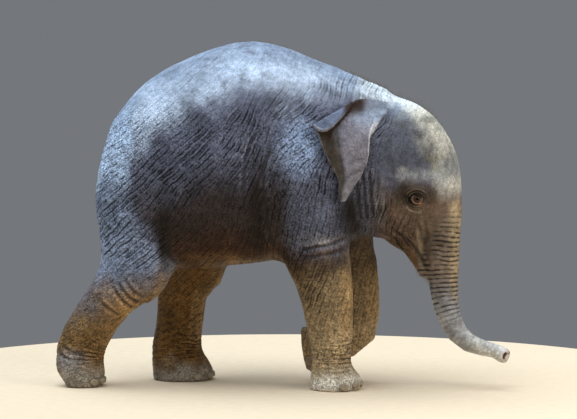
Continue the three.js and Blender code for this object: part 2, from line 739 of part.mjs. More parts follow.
/** An oval plate standing in the front of a foot, facing out from it. */
function nailSolid(field, foot, angle, grow) {
  const up = new THREE.Vector3(...foot.up);
  const toe = new THREE.Vector3(...foot.toe);
  const across = up.clone().cross(toe);
  const turn = radians(angle);
  const out = toe.multiplyScalar(Math.cos(turn)).addScaledVector(across, Math.sin(turn));
  const at = surfaceFrom(field, new THREE.Vector3(...foot.centre), out);
  const facing = slopeOf(field, at).normalize();
  const sideways = facing.clone().cross(up).normalize().negate();
  const plate = new THREE.CylinderGeometry(0.9, 1, 1, 8);
  plate.scale(NAIL.width / 2 + grow, NAIL.depth + grow, NAIL.height / 2 + grow);
  const basis = new THREE.Matrix4().makeBasis(sideways, facing, sideways.clone().cross(facing));
  plate.applyMatrix4(basis.setPosition(at.addScaledVector(facing, NAIL.proud - NAIL.depth / 2)));
  return solidOf(plate);
}

/** Top of a leg, as far down as the elbow or knee: it fills the leg's room in the body. */
function legTopSolid(leg) {
  const { over, inside, outside, low, high } = LEG_TOP;
  const xs = leg.stations.map((s) => s[0]);
  const [right, left] = leg.hand > 0 ? [-inside, outside] : [-outside, inside];
  const box = [[min(...xs) - over, right, low], [max(...xs) + over, left, high]];
  return largest(before(polygonize(bodyField, box, GRID.leg).intersect(legRoom(leg)), leg.cuts[0]));
}

/** Builds one leg, in three lengths, with its nails let into the foot. */
function placeLeg(name, leg, top) {
  const limbInRoom = limbSolid(leg.stations, SIDES.leg).intersect(legRoom(leg));
  const shin = leg.soles.reduce((rest, sole) => beyond(rest, sole, 0), beyond(limbInRoom, leg.cuts[0]));
  const nail = (angle, grow) => nailSolid(legFields[name], leg.foot, angle, grow);
  const beds = leg.foot.nails.map((angle) => nail(angle, TOUCH_GAP));
  place(`${name}_upper`, top, "skin");
  place(`${name}_lower`, largest(before(shin, leg.cuts[1])), "leg");
  place(`${name}_foot`, letIn(beyond(shin, leg.cuts[1]), beds), "leg");
  leg.foot.nails.forEach((angle, i) => place(`${name}_nail_${i + 1}`, nail(angle, 0), "nail"));
}

// ---------------------------------------------------------------- the whole animal
const earShare = (row) => row / (EAR.length - 1);
const earColumns = EAR[0].map((_, n) => through(EAR.map((row, i) => [earShare(i), row[n]])));
const legRooms = Object.values(LEGS).map((leg) => legRoom(leg, PART_GAP));
const head = headSolid();
const neck = neckSolid();
const torso = torsoSolid();
const trunkTop = trunkTopSolid();
const trunkEnd = trunkEndSolid();
const legTops = Object.values(LEGS).map(legTopSolid);
const behindEars = [head, neck, ...legTops.slice(0, 2)].map((solid) => grown(solid, LAP_GAP));

place("head", head, "face");
place("neck", neck, "skin");
place("torso", torso, "skin");
place("trunk_upper", trunkTop, "face");
place("trunk_middle", before(trunkEnd, PLANES.trunkLower), "face");
place("trunk_tip", beyond(trunkEnd, PLANES.trunkLower), "face");
place("lower_jaw", jawSolid([head, neck, trunkTop].map((solid) => grown(solid, LAP_GAP))), "face");
place("tail", tailSolid([grown(torso, LAP_GAP)]), "skin");
place("tail_tuft", limbSolid(TUFT, SIDES.tuft), "hair");
for (const [side, hand] of [["right", -1], ["left", 1]]) {
  place(`eye_${side}`, eyeSolid(hand, EYE_RADIUS), "eye");
  place(`ear_${side}`, earSolid(hand, behindEars), "ear");
}
Object.entries(LEGS).forEach(([name, leg], i) => placeLeg(name, leg, legTops[i]));

// The frame's origin is under the middle of the animal, on the floor.
const bounds = new THREE.Box3().setFromObject(calf);
const middle = bounds.getCenter(new THREE.Vector3());
calf.position.set(-middle.x, -middle.y, -bounds.min.z);

export default calf;
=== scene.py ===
"""Asian elephant calf: a still, life-size model of a walking calf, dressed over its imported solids.

One skin covers all the flesh. The eyes, the toenails, the bristles with the lashes, and the tail's tuft are
pieces of their own.
"""

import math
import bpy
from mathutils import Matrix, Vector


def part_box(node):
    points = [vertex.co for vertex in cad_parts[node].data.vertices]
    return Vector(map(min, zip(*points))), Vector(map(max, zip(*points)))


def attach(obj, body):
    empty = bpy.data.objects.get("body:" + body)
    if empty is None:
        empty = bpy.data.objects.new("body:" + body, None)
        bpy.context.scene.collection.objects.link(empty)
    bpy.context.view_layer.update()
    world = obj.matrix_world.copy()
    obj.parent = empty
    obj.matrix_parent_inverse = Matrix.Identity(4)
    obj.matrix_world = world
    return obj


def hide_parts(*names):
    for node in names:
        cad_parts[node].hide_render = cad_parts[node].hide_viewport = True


bl_info = {
    "name": "Elephant calf",
    "version": (1, 0, 0),
    "blender": (4, 5, 0),
    "location": "3D View > Sidebar > Calf",
    "description": "Skin, eyes, toenails and bristles of a walking elephant calf",
    "category": "Object",
}

import bmesh
import bpy
import numpy as np
from mathutils import Matrix, Vector
from mathutils.bvhtree import BVHTree

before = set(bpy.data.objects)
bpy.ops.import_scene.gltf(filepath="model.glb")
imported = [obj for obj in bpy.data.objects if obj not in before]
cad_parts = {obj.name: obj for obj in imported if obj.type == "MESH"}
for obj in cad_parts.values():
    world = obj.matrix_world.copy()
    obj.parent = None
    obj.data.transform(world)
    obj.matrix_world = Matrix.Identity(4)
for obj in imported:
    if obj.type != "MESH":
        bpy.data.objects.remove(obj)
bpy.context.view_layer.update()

# ------------------------------------------------------------------ the drawing
# The tables below are in millimetres: +X towards the head, +Y its left side, +Z up from the floor.
MM = 0.001
DRAWING_SHIFT = 73.3  # the frame's origin lies this far ahead of the drawing's
FLESH = ["head", "neck", "torso", "trunk_upper", "trunk_middle", "trunk_tip", "lower_jaw", "tail"]
LEGS = ["foreleg_right", "foreleg_left", "hindleg_right", "hindleg_left"]
FLESH += [f"{leg}_{part}" for leg in LEGS for part in ("upper", "lower", "foot")]
EARS = ["ear_right", "ear_left"]
NAILS = sorted(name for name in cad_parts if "_nail_" in name)

# Centre lines: x, y, z and the radius round them.
TRUNK_LINE = [
    (540, 0, 690, 112), (572, 0, 645, 93), (592, 0, 592, 76), (600, 0, 535, 65), (600, 0, 470, 60),
    (601, 0, 400, 56), (605, 0, 335, 50), (611, 0, 285, 46), (623, -1, 235, 42), (650, -4, 180, 37),
    (690, -9, 147, 33), (740, -16, 131, 28), (775, -22, 124, 26), (803, -28, 110, 28), (828, -32, 98, 26),
]
LEG_LINES = {
    "foreleg_right": [
        (160, -138, 625, 100), (176, -130, 525, 100), (192, -121, 450, 96), (215, -112, 365, 86),
        (228, -107, 290, 80), (236, -101, 205, 73), (240, -96, 125, 65), (243, -94, 55, 73),
        (256, -94, 0, 88),
    ],
    "foreleg_left": [
        (225, 138, 625, 96), (245, 130, 525, 96), (264, 122, 450, 92), (286, 114, 375, 85),
        (298, 108, 300, 80),
        (304, 104, 228, 76), (300, 102, 176, 72), (266, 100, 143, 66), (215, 98, 126, 63), (148, 98, 110, 76),
        (125, 98, 106, 76),
    ],
    "hindleg_right": [
        (-406, -114, 610, 112), (-410, -117, 505, 105), (-404, -118, 425, 102), (-432, -115, 360, 95),
        (-490, -108, 300, 80), (-540, -103, 232, 75), (-580, -100, 165, 75), (-598, -100, 115, 76),
        (-600, -100, 70, 78), (-588, -100, 0, 76),
    ],
    "hindleg_left": [
        (-312, 115, 610, 112), (-275, 119, 520, 108), (-248, 120, 440, 100), (-252, 117, 385, 98),
        (-272, 111, 335, 88), (-288, 107, 290, 80), (-293, 103, 215, 76), (-299, 101, 165, 75),
        (-305, 100, 115, 78), (-302, 100, 75, 83), (-284, 100, 0, 98),
    ],
}
TAIL_LINE = [
    (-482, 0, 838, 30), (-512, 2, 790, 25), (-523, 9, 715, 19), (-524, 25, 625, 15), (-517, 47, 535, 12),
    (-506, 64, 455, 9), (-501, 71, 415, 8),
]
# Ear, laid flat: height, x of its front and rear edges, how far each stands off the mid plane, how late the
# leaf flares from one to the other, and how far its middle bows out. Its upper rear corner turns over along
# the crease.
EAR_ROWS = [
    (625, 291, 279, 202, 206, 0.8, 6), (650, 305, 275, 193, 210, 0.8, 9), (685, 326, 276, 183, 213, 0.8, 10),
    (720, 348, 263, 177, 217, 0.8, 10), (755, 361, 243, 173, 221, 0.8, 10),
    (795, 366, 223, 170, 225, 0.8, 10),
    (835, 369, 208, 162, 227, 0.9, 8), (865, 378, 194, 144, 226, 1.1, 5), (891, 395, 183, 126, 225, 1.3, 2),
    (910, 412, 184, 112, 217, 1.5, -1), (925, 420, 197, 106, 208, 1.5, -2),
    (936, 418, 228, 104, 188, 1.5, -2),
    (943, 406, 262, 104, 166, 1.4, 0), (948, 391, 300, 106, 140, 1.2, 0), (954, 368, 331, 112, 127, 1, 0),
]
EAR_CREASE = {"rear": (198, 860), "front": (331, 941), "radius": 9, "turn": math.radians(162)}
# The turned flap's painted shadow on the leaf is found along this way.
EAR_SHADE = Vector((-0.40, 0.42, 0.81))  # the way from the ear's leaf to the turned flap's free edge
EYE_AHEAD = Vector((0.20, -0.98, 0.02))  # the way the right eye looks
NOSTRILS = {"at": (817, -38, 107), "way": (0.62, -0.74, -0.26), "apart": 10.5, "radius": 9.0, "depth": 24.0}

# Lower edge of the pale back, seen from the side: x, z.
PALE_LINE = [
    (-600, 640), (-520, 690), (-470, 770), (-400, 812), (-330, 838), (-260, 875), (-207, 925), (-140, 925),
    (-90, 950),
    (-46, 985), (30, 975), (90, 935), (150, 940), (210, 960), (300, 975), (420, 985),
]
# Slopes of the fine wrinkles seen from the side, in degrees, rising towards the head: x and slope, from the
# rump to the head.
FLANK_SLOPES = [
    (-520, 34), (-430, 38), (-340, 36), (-250, 38), (-165, 42), (-90, 51), (-35, 61), (25, 73), (80, 78),
]
# Where the slope is another: x, z, how far this reaches in x and in z, and the slope.
SLOPE_SPOTS = [
    (-440, 500, 120, 110, 44), (-280, 610, 110, 80, 50), (-90, 590, 130, 70, 74), (120, 930, 90, 60, 38),
    (150, 800, 70, 90, 24), (190, 880, 60, 60, 30), (130, 660, 70, 90, 62), (190, 360, 90, 130, 64),
    (350, 640, 60, 120, 84), (280, 1000, 110, 50, 80), (480, 500, 70, 70, 76), (460, 580, 60, 50, 70),
    (470, 340, 90, 50, 40), (395, 862, 60, 70, 58),
]
# Where the wrinkles show: x, z, how far in x and in z, how strong the sloping lines are, and how strong the
# ones that cross them are.
WRINKLE_SPOTS = [
    (-430, 640, 140, 130, 0.9, 0.30), (-450, 500, 120, 120, 1.0, 0.15), (-280, 700, 170, 110, 1.0, 0.1),
    (-160, 760, 150, 120, 1.0, 0.05), (-40, 790, 110, 170, 1.0, 0.0), (30, 660, 60, 200, 1.0, 0.0),
    (-130, 590, 200, 70, 0.45, 0.2), (110, 620, 80, 120, 0.6, 0.65), (130, 780, 90, 120, 0.7, 0.45),
    (120, 920, 110, 70, 0.8, 0.2), (200, 850, 60, 110, 0.8, 0.3), (335, 640, 50, 110, 0.5, 0.1),
    (395, 862, 44, 62, 0.95, 0.25), (300, 990, 130, 50, 0.6, 0.1), (480, 520, 80, 80, 0.7, 0.4),
    (185, 350, 60, 130, 1.0, 0.2), (120, 470, 70, 90, 0.9, 0.7), (-360, 470, 90, 120, 1.0, 0.25),
    (200, 700, 70, 90, 0.9, 0.3), (465, 500, 60, 60, 0.5, 0.8), (410, 600, 46, 90, 0.7, 0.1),
]
# Where the trunk's rings begin: height, and how far forward.
RING_START = [(380, 440), (430, 505), (480, 538), (530, 560), (580, 588), (640, 632)]
FAN = (30, 42, 54, 66, 78)  # slopes of the layers that the wrinkles are blended from
CROSS = -50  # slope of the wrinkles that cross the others
# The lids' opening, from its middle: across, above and below. The lids lie on a ball this far round the eye.
LIDS = {"across": 15.0, "above": 12.0, "below": 13.0, "round": 22.8}
# Folds round each eye: above (1) or below (-1), how far out in radii of the lids' opening, width, depth, how
# far up or down each reaches its full depth, and how far forward its middle lies.
LID_FOLDS = (
    (1, 1.50, 0.13, 2.2, 6, 1), (1, 2.30, 0.17, 2.6, 12, 2), (1, 3.05, 0.22, 1.6, 20, 3),
    (-1, 1.70, 0.15, 1.6, 6, -1), (-1, 2.35, 0.18, 2.6, 10, -3), (-1, 3.05, 0.24, 2.0, 16, -4),
)
# The few tones that the marks are made of. The hollow tone paints shade, and the warm yellow-brown one paints
# warm light.
MARK_TONES = {
    "hollow": (0.014, 0.009, 0.006), "socket": (0.030, 0.020, 0.011), "spot": (0.100, 0.098, 0.088),
    "pale": (0.560, 0.530, 0.450), "dust_and_light": (0.260, 0.255, 0.260), "painted_warm_light": (0.420, 0.330, 0.200),
}
# Marks on the hide, among them painted shade and painted light: x, z, how far in x and in z, how strong, and
# the tone.
MARKS = [
    # painted shade in the folds: under the ear, behind the foreleg, ahead of the thigh, at the corner of the
    # mouth
    (300, 565, 46, 92, 0.95, "hollow"), (6, 600, 26, 170, 0.90, "hollow"),
    (-298, 500, 26, 100, 0.88, "hollow"),
    (536, 446, 28, 44, 0.70, "socket"),
    # darker round the eye, before it and behind it
    (567, 640, 26, 32, 0.70, "socket"), (468, 655, 28, 32, 0.75, "socket"),
    # dark spots on the crown and the forehead
    (485, 872, 34, 13, 0.60, "spot"), (548, 886, 28, 13, 0.50, "spot"), (563, 774, 16, 10, 0.60, "spot"),
    (570, 803, 10, 8, 0.50, "spot"),
    # pale skin on the forehead, the bridge of the trunk and the knob at the temple, with painted light on the
    # forehead and the bridge
    (616, 800, 24, 36, 0.60, "pale"), (648, 678, 28, 27, 0.60, "pale"), (476, 726, 12, 9, 0.60, "pale"),
    # dust on the cheek and the heel, painted light on the elbow's fold, and painted warm light on the front
    # of the trunk
    (403, 618, 18, 66, 0.50, "dust_and_light"), (200, 497, 105, 20, 0.40, "dust_and_light"), (-629, 92, 62, 38, 0.70, "dust_and_light"),
    (645, 545, 22, 95, 0.60, "painted_warm_light"),
]
# Deep creases seen from the side: hand (-1 right, 1 left, 0 both), depth, width, then x and z along each.
CREASES = [
    (0, 9.0, 17.0, [(28, 770), (30, 690), (36, 600), (46, 515), (70, 440)]),
    (0, 3.0, 12.0, [(60, 800), (30, 740), (4, 640), (2, 560)]),
    (0, 2.4, 10.0, [(10, 860), (-22, 770), (-32, 670), (-26, 590)]),
    (-1, 3.2, 5.0, [(150, 462), (190, 474), (245, 484), (300, 508)]),
    (-1, 2.6, 5.0, [(165, 438), (205, 447), (250, 455), (296, 470)]),
    (-1, 3.4, 6.0, [(-470, 345), (-456, 318), (-428, 280), (-405, 262)]),
    (-1, 3.0, 6.0, [(-452, 362), (-438, 335), (-413, 302), (-388, 284)]),
    (-1, 2.8, 6.0, [(-430, 372), (-418, 352), (-400, 325), (-368, 304)]),
    (-1, 2.6, 6.0, [(-520, 300), (-490, 268), (-450, 240)]),
    (-1, 3.0, 6.0, [(-655, 150), (-632, 132), (-600, 118), (-560, 118)]),
    (-1, 2.6, 5.0, [(-660, 118), (-640, 104), (-612, 92)]),
    (0, 6.0, 20.0, [(-292, 560), (-284, 500), (-288, 440), (-262, 412)]),
    (0, 2.8, 6.0, [(322, 735), (330, 660), (336, 590), (342, 548)]),
    (0, 3.0, 6.0, [(343, 745), (350, 680), (354, 610), (360, 550)]),
    (0, 2.6, 6.0, [(366, 740), (372, 680), (374, 620), (382, 560)]),
    (0, 1.8, 6.0, [(392, 720), (397, 670), (400, 610), (412, 560)]),
    (0, 5.5, 6.0, [(418, 546), (452, 520), (486, 492), (512, 464), (532, 430), (550, 384)]),
    (0, 2.2, 6.0, [(402, 520), (440, 500), (476, 468)]),
    (0, 2.0, 6.0, [(520, 560), (528, 520), (534, 480)]),
    (0, 1.8, 6.0, [(544, 565), (550, 520), (552, 480)]),
    (0, 1.8, 24.0, [(455, 690), (440, 740), (432, 790), (440, 830)]),
]


def placed(x, y, z):
    """A point of the drawing in the frame, in metres."""
    return Vector(((x - DRAWING_SHIFT) * MM, y * MM, z * MM))


def drawn(points):
    """Points of the frame, in metres, on the drawing."""
    return points / MM + np.array((DRAWING_SHIFT, 0.0, 0.0))


# ------------------------------------------------------------------ settings
def length(name, description, default):
    return bpy.props.FloatProperty(
        name=name, description=description, default=default, min=0.0, unit="LENGTH", precision=4
    )


def colour(name, description, default):
    return bpy.props.FloatVectorProperty(
        name=name, description=description, default=default, size=3, min=0.0, max=1.0, subtype="COLOR"
    )


class CalfSkinSettings(bpy.types.PropertyGroup):
    body_cell: length("Body cell", "Cell of the first skin, before its folds", 0.007)
    cell: length("Cell", "Cell of the skin that carries the folds", 0.0038)
    most_triangles: bpy.props.IntProperty(
        name="Most triangles",
        description="Triangles left in the skin before its eyelids",
        default=152000,
        min=1000,
    )
    ear_thickness: length("Ear thickness", "Thickness of the ear's leaf", 0.009)
    trunk_fold: length("Trunk fold", "Depth of the trunk's rings", 0.0026)
    leg_fold: length("Leg fold", "Depth of the folds round the legs", 0.0022)
    flank_fold: length("Flank fold", "Depth of the broad slanting folds of the flank", 0.0022)
    ring_spacing: length("Ring spacing", "Distance between the rings of trunk and legs", 0.0155)
    line_spacing: length("Line spacing", "Distance between the fine lines of the flank", 0.0098)
    wrinkle: length("Wrinkle", "Depth of the fine wrinkles", 0.0030)
    hide: colour("Hide", "Grey of the flank", (0.138, 0.148, 0.205))
    # The back's pale grey is partly the hide's own and partly a painted bluish skylight.
    back: colour("Back", "Pale grey of the back and crown", (0.540, 0.640, 0.790))
    # The underside brown is partly the hide's own and partly the belly's painted shade.
    underside: colour("Underside", "Brown of the belly and face", (0.088, 0.062, 0.042))
    dust: colour("Dust", "Tan of the dusty lower legs", (0.370, 0.275, 0.165))
    ear: colour("Ear", "Pinkish grey of the ear", (0.196, 0.186, 0.216))
    # Crease: painted shade in the folds.
    crease: colour("Crease", "Dark of the folds", (0.028, 0.022, 0.019))


class CalfEyeSettings(bpy.types.PropertyGroup):
    iris_radius: length("Iris", "Radius of the iris", 0.0116)
    pupil_radius: length("Pupil", "Radius of the pupil", 0.0046)
    cornea: length("Cornea", "How far the cornea stands out of the ball", 0.0016)
    white: colour("White", "Pinkish white of the eye", (0.36, 0.26, 0.21))
    iris: colour("Iris colour", "Brown of the iris", (0.040, 0.018, 0.009))


class CalfNailSettings(bpy.types.PropertyGroup):
    horn: colour("Horn", "Pale horn of the toenails", (0.34, 0.28, 0.20))


class CalfHairSettings(bpy.types.PropertyGroup):
    count: bpy.props.IntProperty(
        name="Bristles", description="Bristles on crown, brow, back and chin", default=1200, min=0
    )
    crown_length: length("Crown hair", "Length of the crown's hair", 0.021)
    tuft_length: length("Tuft hair", "Length of the hair in the tail's tuft", 0.085)
    thickness: length("Thickness", "Thickness of a bristle at its root", 0.0006)
    seed: bpy.props.IntProperty(name="Seed", description="Seed of the scattered hairs", default=7)
    hair: colour("Hair", "Brown of the hair", (0.050, 0.036, 0.028))


class CalfStageSettings(bpy.types.PropertyGroup):
    floor_radius: length("Floor radius", "Radius of the floor", 1.5)
    floor: colour("Floor", "Pale floor", (0.86, 0.70, 0.51))
    room: colour("Room", "Plain room", (0.80, 0.84, 0.90))
    room_light: bpy.props.FloatProperty(
        name="Room light", description="Strength of the room's light", default=0.22
    )
    overhead: bpy.props.FloatProperty(
        name="Overhead", description="Strength of the light from above", default=3.7
    )
    fill: bpy.props.FloatProperty(
        name="Fill", description="Power of the light from the front, in watts", default=60.0
    )


# ------------------------------------------------------------------ small tools
def smooth_step(value, low, high):
    """0 below low, 1 above high, and an easy slope between them."""
    t = np.clip((value - low) / (high - low), 0.0, 1.0)
    return t * t * (3.0 - 2.0 * t)


def soft_spot(x, z, at_x, at_z, reach_x, reach_z):
    """1 in the middle of a spot seen from the side, falling softly to 0 round it."""
    return np.exp(-((((x - at_x) / reach_x) ** 2 + ((z - at_z) / reach_z) ** 2) ** 1.5))


def lattice(ix, iy, iz, seed):
    """A steady random number from -1 to 1 at each whole point."""
    n = ix * 73856093 ^ iy * 19349663 ^ iz * 83492791 ^ seed * 2654435761
    n = (n ^ (n >> 13)) * 1274126177
    n = n ^ (n >> 16)
    return (n & 0xFFFF) / 32767.5 - 1.0


def mottle(points, size, seed=0):
    """Soft noise from -1 to 1 whose patches are about size across, or (x, y, z) sizes."""
    scaled = points / np.array(size, float)
    whole = np.floor(scaled)
    part = scaled - whole
    part = part * part * (3.0 - 2.0 * part)
    base = whole.astype(np.int64)
    total = np.zeros(len(points))
    for dx in (0, 1):
        for dy in (0, 1):
            for dz in (0, 1):
                share = (
                    np.where(dx, part[:, 0], 1 - part[:, 0])
                    * np.where(dy, part[:, 1], 1 - part[:, 1])
                    * np.where(dz, part[:, 2], 1 - part[:, 2])
                )
                total += share * lattice(base[:, 0] + dx, base[:, 1] + dy, base[:, 2] + dz, seed)
    return total


def slanted(points, tilt):
    """Points turned about Y, so that X runs across lines that rise at tilt degrees towards the head."""
    t = math.radians(tilt)
    x, y, z = points.T
    return np.column_stack((x * math.sin(t) - z * math.cos(t), y, x * math.cos(t) + z * math.sin(t)))


def wrinkles(points, across, along, tilt, seed, sharp=0.16):
    """Branching lines, 1 in each line and 0 between them, that rise at tilt degrees towards the head."""
    n = mottle(slanted(points, tilt), (across, along, along), seed)
    return np.exp(-((n / sharp) ** 2))


def rings(run, spacing, width=0.19):
    """Lines one spacing apart along a run."""
    off = np.abs(run / spacing - np.round(run / spacing))
    return np.exp(-((off / width) ** 2))


def curve_through(rows, at):
    """Values on smooth curves through evenly spaced rows, at places from 0 to 1."""
    rows = np.array(rows, float)
    last = len(rows) - 1
    t = np.clip(np.asarray(at, float), 0.0, 1.0) * last
    i = np.minimum(t.astype(int), last - 1)
    f = (t - i)[..., None]
    before, start, end, after = (rows[np.clip(i + k, 0, last)] for k in (-1, 0, 1, 2))
    return 0.5 * (
        2 * start
        + (end - before) * f
        + (2 * before - 5 * start + 4 * end - after) * f**2
        + (3 * start - before - 3 * end + after) * f**3
    )


def along_line(points, line, reach=1.9):
    """For each point: the distance gone along a centre line, and how far off it in radii.

    Points out of reach get a big number.
    """
    dense = curve_through(line, np.linspace(0, 1, 14 * len(line)))
    centres, radii = dense[:, :3], dense[:, 3]
    steps = np.diff(centres, axis=0)
    lengths = np.linalg.norm(steps, axis=1)
    run = np.concatenate(([0.0], np.cumsum(lengths)))
    tangents = np.gradient(centres, axis=0)
    tangents /= np.linalg.norm(tangents, axis=1)[:, None]
    far = radii.max() * reach
    near = np.all((points > centres.min(0) - far) & (points < centres.max(0) + far), axis=1)
    gone, off = np.zeros(len(points)), np.full(len(points), 99.0)
    picked = np.flatnonzero(near)
    for part in np.array_split(picked, max(1, len(picked) // 40000)):
        gap = points[part][:, None, :] - centres[None]
        k = np.argmin(np.einsum("nmk,nmk->nm", gap, gap), axis=1)
        offset = points[part] - centres[k]
        slide = np.einsum("nk,nk->n", offset, tangents[k])
        gone[part] = run[k] + slide
        off[part] = np.linalg.norm(offset - slide[:, None] * tangents[k], axis=1) / radii[k]
    return gone, off


def read_points(mesh):
    points = np.empty(len(mesh.vertices) * 3)
    mesh.vertices.foreach_get("co", points)
    return points.reshape(-1, 3)


def write_points(mesh, points):
    mesh.vertices.foreach_set("co", np.ascontiguousarray(points, dtype=np.float32).ravel())
    mesh.update()


def read_normals(mesh):
    normals = np.empty(len(mesh.vertices) * 3)
    mesh.vertex_normals.foreach_get("vector", normals)
    return normals.reshape(-1, 3)


def read_edges(mesh):
    edges = np.empty(len(mesh.edges) * 2, dtype=np.int64)
    mesh.edges.foreach_get("vertices", edges)
    return edges.reshape(-1, 2)


def neighbour_mean(values, edges, degree):
    count = len(values)
    total = np.empty_like(values)
    for k in range(values.shape[1]):
        total[:, k] = np.bincount(edges[:, 0], weights=values[edges[:, 1], k], minlength=count)
        total[:, k] += np.bincount(edges[:, 1], weights=values[edges[:, 0], k], minlength=count)
    return total / degree[:, None]


def even_out(mesh, rounds, weight, pull=0.55, push=0.56):
    """Takes small facets out of a mesh and keeps its volume: each round pulls in, then pushes back out."""
    points, edges = read_points(mesh), read_edges(mesh)
    degree = np.maximum(np.bincount(edges.ravel(), minlength=len(points)), 1)
    weight = np.broadcast_to(weight, (len(points),))[:, None]
    for _ in range(rounds):
        for amount in (pull, -push):
            points += (neighbour_mean(points, edges, degree) - points) * amount * weight
    write_points(mesh, points)


def finished(obj):
    """A new mesh of the object with its modifiers applied."""
    graph = bpy.context.evaluated_depsgraph_get()
    return bpy.data.meshes.new_from_object(obj.evaluated_get(graph))


def with_modifier(mesh, kind, **values):
    """The mesh after one modifier."""
    carrier = bpy.data.objects.new("carrier", mesh)
    bpy.context.scene.collection.objects.link(carrier)
    modifier = carrier.modifiers.new(kind, kind)
    for key, value in values.items():
        setattr(modifier, key, value)
    made = finished(carrier)
    bpy.data.objects.remove(carrier)
    return made


def add_piece(name, mesh, material, replaced=()):
    """The mesh as a piece of the model, on the calf's one body."""
    piece = bpy.data.objects.new(name, mesh)
    bpy.context.scene.collection.objects.link(piece)
    mesh.materials.clear()
    mesh.materials.append(material)
    mesh.polygons.foreach_set("use_smooth", [True] * len(mesh.polygons))
    mesh.update()
    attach(piece, "root")
    if replaced:
        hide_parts(*replaced)
    return piece


def joined_solids(names, grow):
    """Copies of solids as one bmesh, each merged and grown by a little so that neighbours overlap."""
    whole = bmesh.new()
    for name in names:
        solid = bmesh.new()
        solid.from_mesh(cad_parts[name].data)
        bmesh.ops.remove_doubles(solid, verts=solid.verts, dist=1e-5)
        solid.normal_update()
        for vertex in solid.verts:
            vertex.co += vertex.normal * grow
        part = bpy.data.meshes.new(name)
        solid.to_mesh(part)
        solid.free()
        whole.from_mesh(part)
        bpy.data.meshes.remove(part)
    return whole


# ------------------------------------------------------------------ materials
class Nodes:
    """A short way to write a material's nodes."""

    def __init__(self, name):
        self.material = bpy.data.materials.new(name)
        self.material.use_nodes = True
        self.tree = self.material.node_tree
        self.shader = self.tree.nodes["Principled BSDF"]

    def add(self, kind, inputs=None, **values):
        node = self.tree.nodes.new(f"ShaderNode{kind}")
        for key, value in values.items():
            setattr(node, key, value)
        for key, value in (inputs or {}).items():
            self.feed(node.inputs[key], value)
        return node

    def feed(self, socket, value):
        if isinstance(value, bpy.types.NodeSocket):
            self.tree.links.new(value, socket)
        else:
            socket.default_value = value

    def math(self, operation, first, second=0.5, third=0.5, clamp=False):
        node = self.add("Math", {0: first, 1: second, 2: third}, operation=operation, use_clamp=clamp)
        return node.outputs[0]

    def mix(self, share, first, second, blend="MIX"):
        node = self.add("Mix", data_type="RGBA", blend_type=blend, clamp_factor=True)
        self.feed(node.inputs[0], share)
        self.feed(node.inputs[6], first)
        self.feed(node.inputs[7], second)
        return node.outputs[2]

    def place(self, rotation=(0, 0, 0), scale=(1, 1, 1)):
        """Object coordinates, turned and then stretched."""
        coordinates = self.add("TexCoord").outputs["Object"]
        turned = self.add("Mapping", {"Vector": coordinates, "Rotation": rotation}).outputs[0]
        return self.add("Mapping", {"Vector": turned, "Scale": scale}).outputs[0]

    def attribute(self, name):
        return self.add("Attribute", attribute_name=name, attribute_type="GEOMETRY")

    def noise(self, place, scale, detail=3.0, roughness=0.5):
        inputs = {"Vector": place, "Scale": scale, "Detail": detail, "Roughness": roughness}
        return self.add("TexNoise", inputs).outputs[0]

    def steps(self, value, *stops):
        """A ramp with (place, grey or colour) stops."""
        node = self.add("ValToRGB", {"Fac": value})
        ramp = node.color_ramp
        while len(ramp.elements) < len(stops):
            ramp.elements.new(0.5)
        for element, (at, tone) in zip(ramp.elements, stops):
            element.position = at
            element.color = (tone, tone, tone, 1.0) if isinstance(tone, (int, float)) else (*tone, 1.0)
        return node.outputs[0]

    def creases(self, place, scale, width):
        """Branching lines: 1 in the middle of each line, falling to 0 at width."""
        noise = self.noise(place, scale, detail=1.5, roughness=0.5)
        off = self.math("ABSOLUTE", self.math("SUBTRACT", noise, 0.5))
        return self.math("SUBTRACT", 1.0, self.math("DIVIDE", off, width, clamp=True))

    def bump(self, height, strength, distance):
        node = self.add("Bump", {"Height": height, "Strength": strength, "Distance": distance})
        self.feed(self.shader.inputs["Normal"], node.outputs[0])


